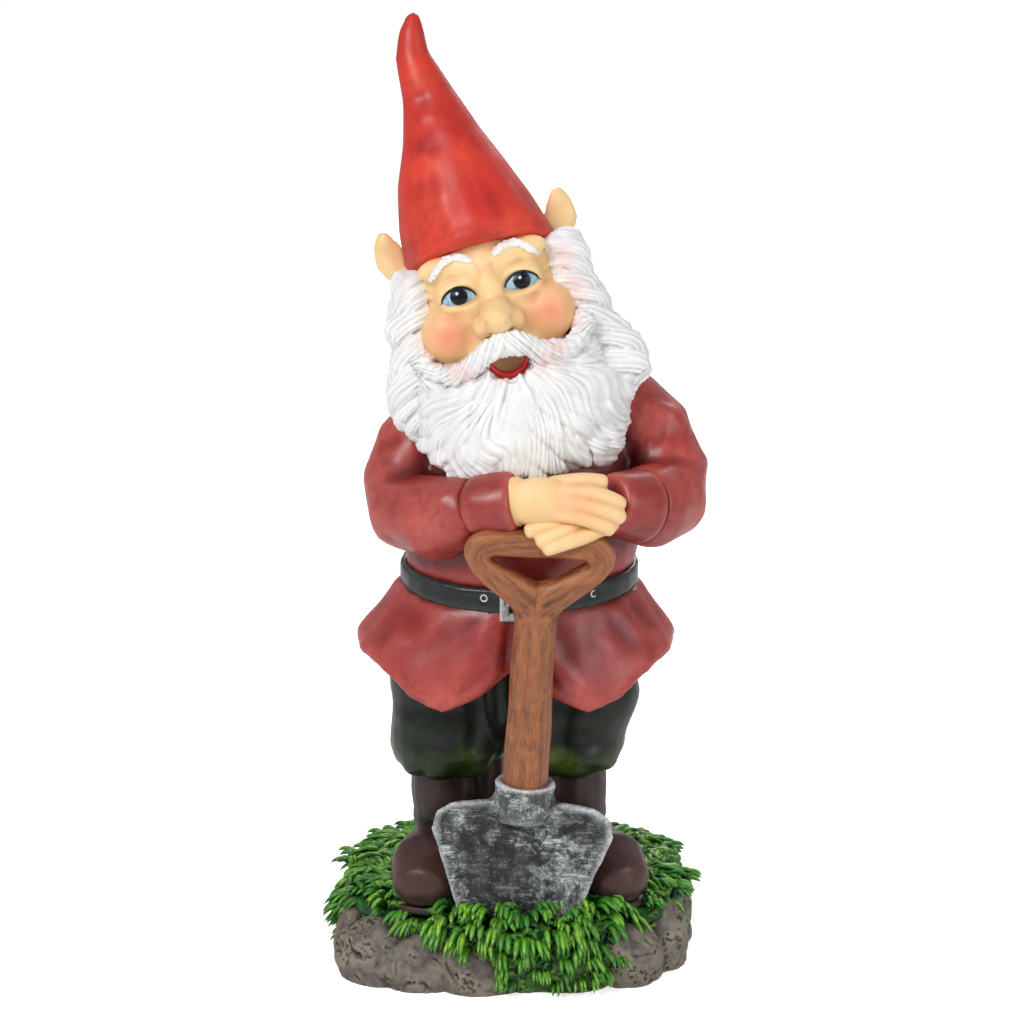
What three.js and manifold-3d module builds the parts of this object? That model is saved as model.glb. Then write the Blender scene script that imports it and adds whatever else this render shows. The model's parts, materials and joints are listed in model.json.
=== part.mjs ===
// A garden gnome leaning on a spade: a painted cast-resin ornament on a turf-and-stone base.
//
// Units are millimetres. +Z is up and the gnome faces -Y. Left and right are the gnome's own, so its
// left side is +X. The figure is a kit of castings that plug together: each boot is a spigot in a trouser
// leg, the legs are spigots in the coat skirt, the skull is a spigot in the hat, the wrists go into the
// cuffs, and steel rods reinforce the ankles, the neck and the spade. Neighbours are carved to fit each
// other with a small glue gap. The finished group stands on Z = 0 with the origin under its middle.
import * as THREE from "three";
import { mergeVertices } from "three/addons/utils/BufferGeometryUtils.js";
import Module from "manifold-3d";

const wasm = await Module();
wasm.setup();

// ---------------------------------------------------------------- driving dimensions

const GLUE_GAP = 0.4;
const DETAIL = 0.1;
const SHARPEST = 0.4;
const ROD_RADIUS = 1.6;

// The base: an oval mound with stones set into its rim and a layer of turf on top.
const BASE_HALF_WIDTH = 59.5;
const BASE_HALF_DEPTH = 52.5;
const MOUND_HEIGHT = 17;
const TURF_TOP = 25.2;
const SOLE_BOTTOM = 23.8;

// The legs stand either side of X = 0; each foot turns out by its own angle.
const LEGS = {
  left: { side: 1, ankle: [19.5, -4], turnOut: 28, knee: [24, -2], hemRadius: 14.6, kneeRadius: 18.4 },
  right: { side: -1, ankle: [-23.5, -4], turnOut: 12, knee: [-22.8, -2], hemRadius: 16.6, kneeRadius: 18.6 },
};
const FOOT_LENGTH = 40;
const BOOT_TOP = 74;
const TROUSER_HEM = 64;
const TROUSER_TOP = 116;

// The coat: a body above the belt, a flared skirt below it, and one sleeve and cuff for each arm.
const WAIST = { z: 133, x: 1.5, y: 0, halfWidth: 38, halfDepth: 31 };
const BELT_HEIGHT = 8;
const BELT_THICKNESS = 1.8;
const BELT_SAG = 0.07;
// Hem of the skirt: [degrees round from the front, distance from the axis, height].
const HEM = [
  [0, 33, 107],
  [33, 44, 92],
  [62, 52, 99],
  [90, 54.5, 110],
  [120, 50, 103],
  [150, 43, 95],
  [180, 39, 101],
];

// The spade leans a little to the gnome's left, in front of the coat.
const SPADE = { x: 3.4, y: -44.6, lean: 3.4, z: 73 };
const SHAFT_RADIUS = 7;
const SHAFT_LENGTH = 58;
const GRIP_HALF_WIDTH = 24;
const GRIP_HEIGHT = 27;
const GRIP_DEPTH = 9;
const SOCKET_RADIUS = 10;

// The head is tipped to the gnome's right and back, and looks a little to its left.
const HEAD = { x: -7.5, y: -3, z: 226, tip: 14, back: 7, turn: 4 };
const SKULL = [24.5, 26, 30];
const HAT_HEIGHT = 97;
const BRIM_SLOPE = 0.38;

// Colours and surfaces of the painted resin, and of the bare steel.
const FINISH = {
  coat: { color: 0x8f2f30, roughness: 0.45, metalness: 0 },
  hat: { color: 0xd22c20, roughness: 0.42, metalness: 0 },
  skin: { color: 0xe8b877, roughness: 0.5, metalness: 0 },
  hair: { color: 0xf0eeea, roughness: 0.6, metalness: 0 },
  eye: { color: 0x101014, roughness: 0.15, metalness: 0 },
  lip: { color: 0xd2231f, roughness: 0.4, metalness: 0 },
  trousers: { color: 0x1e2b22, roughness: 0.5, metalness: 0 },
  boots: { color: 0x3e2622, roughness: 0.45, metalness: 0 },
  soles: { color: 0x1b1513, roughness: 0.6, metalness: 0 },
  belt: { color: 0x14191a, roughness: 0.35, metalness: 0 },
  buckle: { color: 0xb9bcc0, roughness: 0.35, metalness: 0.6 },
  handle: { color: 0x8a4f2a, roughness: 0.6, metalness: 0 },
  blade: { color: 0x4a4d50, roughness: 0.5, metalness: 0.5 },
  turf: { color: 0x2f7a1e, roughness: 0.7, metalness: 0 },
  stone: { color: 0x7b7064, roughness: 0.8, metalness: 0 },
  steel: { color: 0x9a9da0, roughness: 0.4, metalness: 1 },
};

// ---------------------------------------------------------------- shape helpers

const radians = THREE.MathUtils.degToRad;

// A Catmull-Rom spline through rows of numbers, with `steps` rows for each span.
function smoothRows(rows, steps) {
  const at = (i) => rows[Math.min(Math.max(i, 0), rows.length - 1)];
  const made = [];
  for (let i = 0; i + 1 < rows.length; i++) {
    for (let k = 0; k < steps; k++) {
      const t = k / steps;
      made.push(
        at(i).map((here, j) => {
          const before = at(i - 1)[j];
          const next = at(i + 1)[j];
          const after = at(i + 2)[j];
          const leave = (next - before) / 2;
          const arrive = (after - here) / 2;
          const rise = next - here;
          return here + t * (leave + t * (3 * rise - 2 * leave - arrive + t * (leave + arrive - 2 * rise)));
        }),
      );
    }
  }
  made.push(at(rows.length - 1));
  return made;
}

// Skins a list of rings, each a list of points going anticlockwise seen from the far end, and closes
// both ends with a fan.
function skin(rings) {
  const sides = rings[0].length;
  const points = rings.flat();
  const index = [];
  for (let r = 0; r + 1 < rings.length; r++) {
    for (let s = 0; s < sides; s++) {
      const a = r * sides + s;
      const b = r * sides + ((s + 1) % sides);
      index.push(a, b, b + sides, a, b + sides, a + sides);
    }
  }
  for (const [ring, turned] of [[0, true], [rings.length - 1, false]]) {
    const middle = rings[ring].reduce((sum, p) => sum.add(p), new THREE.Vector3()).divideScalar(sides);
    points.push(middle);
    for (let s = 0; s < sides; s++) {
      const a = ring * sides + s;
      const b = ring * sides + ((s + 1) % sides);
      index.push(points.length - 1, turned ? b : a, turned ? a : b);
    }
  }
  const geometry = new THREE.BufferGeometry().setFromPoints(points);
  geometry.setIndex(index);
  geometry.computeVertexNormals();
  return geometry;
}

// A body of level oval rings. A row is [z, centre x, centre y, half-width, half-depth, slope], where the
// ring drops by `slope` for each millimetre towards the back.
function stack(rows, { sides = 22, steps = 1 } = {}) {
  const full = rows.map((row) => [...row, 0].slice(0, 6));
  const rings = smoothRows(full, steps).map(([z, x, y, halfWidth, halfDepth, slope]) =>
    Array.from({ length: sides }, (_, s) => {
      const angle = (2 * Math.PI * s) / sides;
      const depth = halfDepth * Math.sin(angle);
      return new THREE.Vector3(x + halfWidth * Math.cos(angle), y + depth, z - slope * depth);
    }),
  );
  return skin(rings);
}

// A body of rings square to a path. A row is [x, y, z, radius along the flat, radius across it], and
// `flat` is the direction that the first radius keeps closest to.
function limb(rows, { sides = 12, steps = 1, flat = [0, 0, 1] } = {}) {
  const path = smoothRows(rows, steps);
  const place = (row) => new THREE.Vector3(row[0], row[1], row[2]);
  const rings = path.map((row, i) => {
    const before = place(path[Math.max(i - 1, 0)]);
    const along = place(path[Math.min(i + 1, path.length - 1)]).sub(before).normalize();
    const across = new THREE.Vector3().crossVectors(along, new THREE.Vector3(...flat)).normalize();
    const level = new THREE.Vector3().crossVectors(across, along);
    return Array.from({ length: sides }, (_, s) => {
      const angle = (2 * Math.PI * s) / sides;
      return place(row)
        .addScaledVector(across, row[4] * Math.cos(angle))
        .addScaledVector(level, -row[3] * Math.sin(angle));
    });
  });
  return skin(rings);
}

function ellipsoid([x, y, z], [rx, ry, rz], sides = 16) {
  return new THREE.SphereGeometry(1, sides, Math.round(sides * 0.6))
    .rotateX(Math.PI / 2)
    .scale(rx, ry, rz)
    .translate(x, y, z);
}

// A cylinder from one height to another.
function post([x, y], low, high, radiusLow, radiusHigh = radiusLow, sides = 20) {
  return new THREE.CylinderGeometry(radiusHigh, radiusLow, high - low, sides)
    .rotateX(Math.PI / 2)
    .translate(x, y, (low + high) / 2);
}

// A flat shape in X and Z, extruded along Y about y = 0.
function plate(shape, depth, bevel = 0, curveSegments = 6) {
  return new THREE.ExtrudeGeometry(shape, {
    depth: depth - 2 * bevel,
    bevelEnabled: bevel > 0,
    bevelThickness: bevel,
    bevelSize: bevel,
    bevelOffset: -bevel,
    bevelSegments: 2,
    curveSegments,
  })
    .translate(0, 0, bevel - depth / 2)
    .rotateX(Math.PI / 2);
}

// ---------------------------------------------------------------- booleans

function bareGeometry(geometry) {
  const bare = new THREE.BufferGeometry();
  bare.setAttribute("position", geometry.getAttribute("position").clone());
  bare.setIndex(geometry.index ? geometry.index.clone() : null);
  return mergeVertices(bare, 1e-4);
}

function solidOf(geometry) {
  const merged = bareGeometry(geometry);
  return new wasm.Manifold(
    new wasm.Mesh({
      numProp: 3,
      vertProperties: merged.attributes.position.array,
      triVerts: new Uint32Array(merged.index.array),
    }),
  );
}

// The geometry of a solid, without any crumbs that a cut has left loose.
function geometryOf(solid) {
  const bodies = solid.simplify(DETAIL).decompose().sort((a, b) => b.volume() - a.volume());
  const mesh = bodies[0].getMesh();
  const geometry = new THREE.BufferGeometry();
  geometry.setAttribute("position", new THREE.BufferAttribute(mesh.vertProperties, 3));
  geometry.setIndex(new THREE.BufferAttribute(mesh.triVerts, 1));
  geometry.computeVertexNormals();
  return geometry;
}

function join(...geometries) {
  return geometryOf(geometries.map(solidOf).reduce((all, next) => all.add(next)));
}

// The part of a geometry above a level.
function above(geometry, level) {
  const size = 400;
  const below = new THREE.BoxGeometry(size, size, size).translate(0, 0, level - size / 2);
  return geometryOf(solidOf(geometry).subtract(solidOf(below)));
}

// The geometry swollen by the glue gap. Each vertex moves out along the mean of its faces' normals, and
// further where the faces meet sharply, so that every face moves out by about the whole gap.
function swollen(geometry) {
  const grown = bareGeometry(geometry);
  const { position } = grown.attributes;
  const faces = Array.from({ length: position.count }, () => []);
  const corners = [new THREE.Vector3(), new THREE.Vector3(), new THREE.Vector3()];
  for (let i = 0; i < grown.index.count; i += 3) {
    const ids = [0, 1, 2].map((k) => grown.index.getX(i + k));
    ids.forEach((id, k) => corners[k].fromBufferAttribute(position, id));
    const normal = new THREE.Triangle(...corners).getNormal(new THREE.Vector3());
    ids.forEach((id) => faces[id].push(normal));
  }
  faces.forEach((normals, i) => {
    const mean = normals.reduce((sum, n) => sum.add(n), new THREE.Vector3()).normalize();
    const least = Math.min(...normals.map((n) => n.dot(mean)));
    const here = new THREE.Vector3().fromBufferAttribute(position, i);
    here.addScaledVector(mean, GLUE_GAP / Math.max(least, SHARPEST));
    position.setXYZ(i, here.x, here.y, here.z);
  });
  return grown;
}

// ---------------------------------------------------------------- the kit

const gnome = new THREE.Group();
const pieces = new Map();

function group(parent, [x, y, z], [aboutX, aboutY, aboutZ] = [0, 0, 0]) {
  const made = new THREE.Group();
  made.position.set(x, y, z);
  made.rotation.set(radians(aboutX), radians(aboutY), radians(aboutZ), "ZYX");
  parent.add(made);
  return made;
}

function piece(parent, name, finish, geometry) {
  const mesh = new THREE.Mesh(geometry, new THREE.MeshStandardMaterial(FINISH[finish]));
  mesh.name = name;
  parent.add(mesh);
  pieces.set(name, { mesh, whole: geometry });
}

// Cuts a piece so that it fits round others. The others are taken whole, as they were before any cut of
// their own, so the order of the cuts doesn't matter.
function fit(name, ...others) {
  gnome.updateMatrixWorld(true);
  const { mesh } = pieces.get(name);
  const toMesh = mesh.matrixWorld.clone().invert();
  const cut = others.reduce((left, other) => {
    const neighbour = pieces.get(other);
    const tool = swollen(neighbour.whole).applyMatrix4(neighbour.mesh.matrixWorld).applyMatrix4(toMesh);
    return left.subtract(solidOf(tool));
  }, solidOf(mesh.geometry));
  mesh.geometry = geometryOf(cut);
}

// ---------------------------------------------------------------- base

// A point on the rim of the base, `inset` inside it, at an angle round from the front towards the left.
function rimPoint(degrees, inset) {
  const angle = radians(degrees);
  return [(BASE_HALF_WIDTH - inset) * Math.sin(angle), -(BASE_HALF_DEPTH - inset) * Math.cos(angle)];
}

// A boulder in the rim, flat where it meets the ground.
function stone(degrees, halfLength, top) {
  const depth = 10.5;
  const middle = 6;
  const [x, y] = rimPoint(degrees, depth - 2);
  const boulder = ellipsoid([0, 0, middle], [halfLength, depth, top - middle], 12)
    .rotateZ(radians(degrees))
    .translate(x, y, 0);
  return above(boulder, 0);
}

const STONES = {
  stone_front_right: [-42, 18, 20.5],
  stone_front: [-14, 13, 15],
  stone_front_left: [52, 16, 19.5],
  stone_left: [97, 13, 21],
  stone_back_left: [142, 16, 19],
  stone_back_right: [-158, 14, 20],
  stone_right: [-104, 15, 18],
};

function buildBase() {
  const width = BASE_HALF_WIDTH;
  const depth = BASE_HALF_DEPTH;
  const mound = [
    [0, 0, 0, width - 2.5, depth - 2.5],
    [2, 0, 0, width - 1, depth - 1],
    [9, 0, 0, width, depth],
    [MOUND_HEIGHT, 0, 0, width - 0.6, depth - 0.6],
  ];
  piece(gnome, "base_mound", "stone", stack(mound, { sides: 32 }));
  const turf = [
    [MOUND_HEIGHT + GLUE_GAP, 0, 0, width - 0.4, depth - 0.4],
    [MOUND_HEIGHT + 1.5, 0, 0, width + 0.8, depth + 0.8],
    [MOUND_HEIGHT + 4.5, 0, 0, width - 0.6, depth - 0.6],
    [TURF_TOP - 1, 0, 0, width - 6, depth - 6],
    [TURF_TOP, 0, 0, width - 16, depth - 16],
  ];
  piece(gnome, "turf", "turf", stack(turf, { sides: 32 }));
  for (const [name, [degrees, halfLength, top]] of Object.entries(STONES)) {
    piece(gnome, name, "stone", stone(degrees, halfLength, top));
  }
}

// ---------------------------------------------------------------- boots and trousers

// The outline of the sole in its own frame: the ankle is at the origin and the toe points along -Y.
function soleShape() {
  const outline = new THREE.Shape();
  outline.moveTo(0, 12.5);
  outline.bezierCurveTo(10, 12.5, 11.5, 4, 10, -4);
  outline.bezierCurveTo(12, -10, 15.2, -18, 13.4, 8 - FOOT_LENGTH);
  outline.bezierCurveTo(11, 1 - FOOT_LENGTH, 5, -FOOT_LENGTH, 0, -FOOT_LENGTH);
  outline.bezierCurveTo(-5, -FOOT_LENGTH, -11, 1 - FOOT_LENGTH, -13.4, 8 - FOOT_LENGTH);
  outline.bezierCurveTo(-15.2, -18, -12, -10, -10, -4);
  outline.bezierCurveTo(-11.5, 4, -10, 12.5, 0, 12.5);
  return outline;
}

// The upper of a boot: a foot with a big round toe, and a shaft that goes up inside the trouser leg.
function bootUpper(soleTop) {
  const foot = limb(
    [
      [0, 12, 4, 3, 4],
      [0, 9, 7, 8, 8.5],
      [0, 0, 9, 11.5, 10.5],
      [0, -14, 10, 11.5, 11.5],
      [0, -26, 9.5, 12.2, 13],
      [0, 3.5 - FOOT_LENGTH, 6, 8, 9.5],
      [0, 0.6 - FOOT_LENGTH, 4, 3, 4],
    ],
    { sides: 16 },
  ).translate(0, 0, soleTop);
  const shaft = stack(
    [
      [soleTop + 4, 0, 0.5, 9, 9.5],
      [soleTop + 16, 0, 0.5, 11, 11.5],
      [soleTop + 30, 0, 0.5, 12, 12.5],
      [BOOT_TOP, 0, 0.5, 11.5, 12],
    ],
    { sides: 16 },
  );
  return above(join(foot, shaft), soleTop);
}

function buildLegs() {
  const soleThickness = 3;
  const soleTop = SOLE_BOTTOM + soleThickness;
  for (const [name, leg] of Object.entries(LEGS)) {
    const [x, y] = leg.ankle;
    const boot = group(gnome, [x, y, 0], [0, 0, leg.side * leg.turnOut]);
    const sole = new THREE.ExtrudeGeometry(soleShape(), {
      depth: soleThickness - GLUE_GAP,
      bevelEnabled: false,
      curveSegments: 5,
    }).translate(0, 0, SOLE_BOTTOM);
    piece(boot, `boot_sole_${name}`, "soles", sole);
    piece(boot, `boot_${name}`, "boots", bootUpper(soleTop));
    const [kneeX, kneeY] = leg.knee;
    const trouserLeg = [
      [TROUSER_HEM, x, y - 0.5, leg.hemRadius - 3.5, leg.hemRadius - 2.5],
      [TROUSER_HEM + 2.5, x, y - 0.5, leg.hemRadius, leg.hemRadius + 1],
      [TROUSER_HEM + 12, (x + kneeX) / 2, y, leg.hemRadius + 1.2, leg.hemRadius + 2.4],
      [TROUSER_HEM + 28, kneeX, kneeY, leg.kneeRadius, leg.kneeRadius + 0.5],
      [TROUSER_HEM + 42, kneeX, kneeY + 1, leg.kneeRadius - 1, leg.kneeRadius],
      [TROUSER_TOP, kneeX, kneeY + 1, leg.kneeRadius - 6, leg.kneeRadius - 5],
    ];
    piece(gnome, `trouser_leg_${name}`, "trousers", stack(trouserLeg, { sides: 20 }));
    piece(gnome, `leg_rod_${name}`, "steel", post([x, y + 2], 8, TROUSER_HEM + 30, ROD_RADIUS, ROD_RADIUS, 10));
  }
}

// ---------------------------------------------------------------- coat

// The skirt hangs from the waist ring to a waving hem, and is closed underneath.
function skirtGeometry() {
  const hemAt = (() => {
    const half = smoothRows(HEM, 2);
    return [...half, ...half.slice(1, -1).reverse().map(([a, r, z]) => [360 - a, r, z])];
  })();
  // Each level: [share of the way from waist to hem, share of the hem's drop].
  const levels = [[0, 0], [0.12, 0.12], [0.45, 0.42], [0.8, 0.74], [0.97, 0.93], [1, 1]];
  const under = [[0.93, 1.5], [0.55, 14]];
  const ringAt = (toPoint) =>
    hemAt.map(([degrees, radius, z]) => {
      const angle = radians(degrees);
      return toPoint(new THREE.Vector2(Math.sin(angle), -Math.cos(angle)), radius, z);
    });
  const top = WAIST.z + 1;
  const outer = levels.map(([out, down]) =>
    ringAt((way, radius, z) => {
      const waistRadius = 1 / Math.hypot(way.x / (WAIST.halfWidth - 0.5), way.y / (WAIST.halfDepth - 0.5));
      const r = THREE.MathUtils.lerp(waistRadius, radius, out);
      const x = WAIST.x * (1 - out) + way.x * r;
      return new THREE.Vector3(x, way.y * r, THREE.MathUtils.lerp(top, z, down));
    }),
  );
  const inner = under.map(([share, rise]) =>
    ringAt((way, radius, z) => new THREE.Vector3(way.x * radius * share, way.y * radius * share, z + rise)),
  );
  return skin([...outer, ...inner].reverse());
}

// The path of the belt: a level oval that sags a little at the front.
function waistBand(grow, low, high) {
  const { x, y, z, halfWidth, halfDepth } = WAIST;
  const row = (level) => [z + level, x, y, halfWidth + grow, halfDepth + grow, -BELT_SAG];
  return stack([row(low), row(high)], { sides: 30 });
}

function buildCoat() {
  const { x, y, z, halfWidth, halfDepth } = WAIST;
  const body = [
    [z + 1.6, x, y, halfWidth - 0.5, halfDepth - 0.5],
    [z + 12, x + 1, y, halfWidth + 1, halfDepth + 0.5],
    [z + 30, x + 2.5, y, halfWidth - 1, halfDepth - 1],
    [z + 46, x + 3, y + 1, halfWidth - 3, halfDepth - 5],
    [z + 58, x + 1.5, y + 3, halfWidth - 10, halfDepth - 9],
    [z + 66, x - 2, y + 4, 17, 15],
  ];
  piece(gnome, "coat_body", "coat", stack(body, { sides: 26, steps: 2 }));
  piece(gnome, "coat_skirt", "coat", skirtGeometry());

  const upperArms = {
    left: [
      [27, 5, 195, 6, 6],
      [36, 4, 190, 12.5, 12.5],
      [45, 1, 180, 14.5, 14.5],
      [50.5, -4, 168, 14.5, 14.5],
      [50, -12, 160.5, 14.5, 14],
      [44.5, -22, 160.5, 13.5, 13],
      [38.5, -31, 163, 11.5, 11],
    ],
    right: [
      [-17, 5, 189, 6, 6],
      [-25, 4, 184, 12, 12],
      [-33, 1, 175, 13.5, 13.5],
      [-37, -4, 165, 13.5, 13.5],
      [-35.5, -14, 157, 13.3, 13.5],
      [-26, -27, 158, 13.5, 13],
      [-16.5, -34.5, 162.5, 11.3, 11],
      [-11, -37.5, 164.8, 9.2, 9.2],
    ],
  };
  const cuffs = {
    left: [
      [42.5, -26.5, 162, 9, 9],
      [40.6, -29, 162.6, 12, 11.6],
      [34, -36, 164.8, 10.2, 9.8],
      [30.6, -39.4, 166.2, 9, 8.8],
    ],
    right: [
      [-14, -35.6, 163.5, 7.5, 7.5],
      [-11.5, -37.4, 164.6, 10, 9.8],
      [-5, -40.2, 166, 9.6, 9.4],
      [0.4, -41.8, 167, 9.4, 9],
    ],
  };
  for (const side of ["left", "right"]) {
    piece(gnome, `coat_sleeve_${side}`, "coat", limb(upperArms[side], { sides: 16 }));
    piece(gnome, `coat_cuff_${side}`, "coat", limb(cuffs[side], { sides: 16 }));
  }
}

function buildBelt() {
  const low = -BELT_HEIGHT / 2;
  const high = BELT_HEIGHT / 2;
  const band = solidOf(waistBand(BELT_THICKNESS, low, high)).subtract(solidOf(waistBand(0, low - 1, high + 1)));
  piece(gnome, "belt", "belt", geometryOf(band));

  const front = WAIST.y - WAIST.halfDepth - BELT_THICKNESS;
  const frontZ = WAIST.z + BELT_SAG * -WAIST.halfDepth;
  const frame = new THREE.Shape([
    new THREE.Vector2(-9, -6.4),
    new THREE.Vector2(9, -6.4),
    new THREE.Vector2(9, 6.4),
    new THREE.Vector2(-9, 6.4),
  ]);
  frame.holes.push(
    new THREE.Path([
      new THREE.Vector2(-5.8, -3.4),
      new THREE.Vector2(-5.8, 3.4),
      new THREE.Vector2(5.8, 3.4),
      new THREE.Vector2(5.8, -3.4),
    ]),
  );
  const buckle = group(gnome, [4, front - 0.7, frontZ]);
  piece(buckle, "belt_buckle", "buckle", plate(frame, 2, 0.5));
  const prong = limb([[-6.9, -1.8, 0, 0.9, 0.9], [5.2, -1.8, 0, 0.7, 0.7]], { sides: 8 });
  piece(buckle, "buckle_prong", "buckle", prong);

  for (const [name, degrees] of [["left", 38], ["right", -17]]) {
    const angle = radians(degrees);
    const radius = BELT_THICKNESS + 0.1;
    const at = [
      WAIST.x + (WAIST.halfWidth + radius) * Math.sin(angle),
      WAIST.y - (WAIST.halfDepth + radius) * Math.cos(angle),
      frontZ + 1,
    ];
    const turned = THREE.MathUtils.radToDeg(Math.atan2(
      WAIST.halfDepth * Math.sin(angle),
      WAIST.halfWidth * Math.cos(angle),
    ));
    const ring = new THREE.TorusGeometry(1.5, 0.55, 6, 12).rotateX(Math.PI / 2);
    piece(group(gnome, at, [0, 0, turned]), `belt_eyelet_${name}`, "buckle", ring);
  }
}

// ---------------------------------------------------------------- spade

// The handle's grip: a rounded heart with a three-cornered hand hole. Its neck is at the origin.
function gripShape() {
  const wide = GRIP_HALF_WIDTH;
  const high = GRIP_HEIGHT;
  const neck = SHAFT_RADIUS - 0.4;
  const outline = new THREE.Shape();
  outline.moveTo(-neck, 0);
  outline.lineTo(neck, 0);
  outline.bezierCurveTo(neck + 2, 5, wide - 3, 9, wide, high - 9);
  outline.bezierCurveTo(wide + 1.5, high - 3, wide - 4, high, wide - 9, high);
  outline.lineTo(9 - wide, high);
  outline.bezierCurveTo(4 - wide, high, -wide - 1.5, high - 3, -wide, high - 9);
  outline.bezierCurveTo(3 - wide, 9, -neck - 2, 5, -neck, 0);
  const hole = new THREE.Path();
  hole.moveTo(0, 9);
  hole.bezierCurveTo(-3, 10, -14, 15, -16, 17);
  hole.bezierCurveTo(-17, 19, -15, 19.4, -13, 19.4);
  hole.lineTo(13, 19.4);
  hole.bezierCurveTo(15, 19.4, 17, 19, 16, 17);
  hole.bezierCurveTo(14, 15, 3, 10, 0, 9);
  outline.holes.push(hole);
  return outline;
}

// The blade: flat ovals stacked from its edge to its tread, bowed so that both sides come forward.
function bladeGeometry() {
  const rows = [
    [-51, 17, 0.8],
    [-50, 19.5, 1.3],
    [-44, 21, 1.5],
    [-30, 25.5, 1.6],
    [-17, 30, 1.7],
    [-11, 29, 1.9],
    [-8.2, 24, 1.9],
    [-7, 14, 1.6],
  ];
  const sides = 24;
  const rings = smoothRows(rows, 1).map(([z, halfWidth, halfThickness]) =>
    Array.from({ length: sides }, (_, s) => {
      const angle = (2 * Math.PI * s) / sides;
      const x = halfWidth * Math.cos(angle);
      const squared = Math.sign(Math.sin(angle)) * Math.abs(Math.sin(angle)) ** 0.5;
      return new THREE.Vector3(x, halfThickness * squared - 0.0045 * x * x, z);
    }),
  );
  const socket = post([0, 0], -14, 0, SOCKET_RADIUS - 1.5, SOCKET_RADIUS, 24);
  return join(skin(rings), socket);
}

function buildSpade() {
  const spade = group(gnome, [SPADE.x, SPADE.y, SPADE.z], [0, SPADE.lean, 0]);
  piece(spade, "spade_blade", "blade", bladeGeometry());
  const shaft = post([0, 0], -10, SHAFT_LENGTH - GLUE_GAP, SHAFT_RADIUS + 0.3, SHAFT_RADIUS - 0.5, 24);
  piece(spade, "spade_shaft", "handle", shaft);
  const grip = plate(gripShape(), GRIP_DEPTH, 2.2, 5).translate(0, 0, SHAFT_LENGTH);
  piece(spade, "spade_grip", "handle", grip);
  piece(spade, "spade_rod", "steel", post([0, 0], 2, SHAFT_LENGTH + 6, ROD_RADIUS, ROD_RADIUS, 10));
}

// ---------------------------------------------------------------- hands

// A hand: a palm with fingers, all joined.
function hand(palm, fingers, flat) {
  const parts = [limb(palm, { sides: 10, flat }), ...fingers.map((rows) => limb(rows, { sides: 7, flat }))];
  return join(...parts);
}

function buildHands() {
  // The right hand lies on top. Its fingers lie side by side and curl down over the other hand.
  const upperFingers = [0, 1, 2, 3].map((i) => [
    [14, -46 - 0.6 * i, 174.5 - 3.2 * i, 2, 2],
    [20, -47.6 - 0.6 * i, 174 - 3.5 * i, 2.7, 2.6],
    [28 + 0.4 * i, -47.4 - 0.6 * i, 170.5 - 3.6 * i, 2.6, 2.5],
    [32.2 - 0.6 * i, -46.4 - 0.7 * i, 166.2 - 3.3 * i, 2, 2],
    [33 - i, -46 - 0.7 * i, 164 - 3.2 * i, 0.8, 0.8],
  ]);
  const upperPalm = [
    [-6, -40.4, 165.8, 6, 5],
    [2, -42.6, 167.4, 7.8, 5.6],
    [10, -44, 168.4, 9, 5.6],
    [19, -45.2, 168.6, 8.6, 4.6],
    [25, -45.4, 167.4, 5.5, 3],
  ];
  piece(gnome, "hand_right", "skin", hand(upperPalm, upperFingers, [0, 0, 1]));

  // The left hand lies across the grip, and its fingers show below the other hand.
  const lowerFingers = [0, 1, 2].map((i) => [
    [20, -47.6 + 0.4 * i, 158.6 - 1.6 * i, 2, 2],
    [12 + 1.5 * i, -49 + 0.3 * i, 157.6 - 2 * i, 2.6, 2.5],
    [5 + 2.6 * i, -48.8 + 0.3 * i, 156 - 1.9 * i, 2.4, 2.3],
    [1.6 + 3.2 * i, -48.2 + 0.3 * i, 154.8 - 1.7 * i, 0.8, 0.8],
  ]);
  const lowerPalm = [
    [36, -34, 164.6, 5, 5],
    [29, -40.4, 164.2, 6, 6],
    [22, -43, 162.4, 5.4, 6.5],
    [12, -44.6, 160.6, 4.6, 6.2],
    [5, -45, 159.6, 2.5, 3.5],
  ];
  piece(gnome, "hand_left", "skin", hand(lowerPalm, lowerFingers, [0, 0, 1]));
}

// ---------------------------------------------------------------- head

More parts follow.
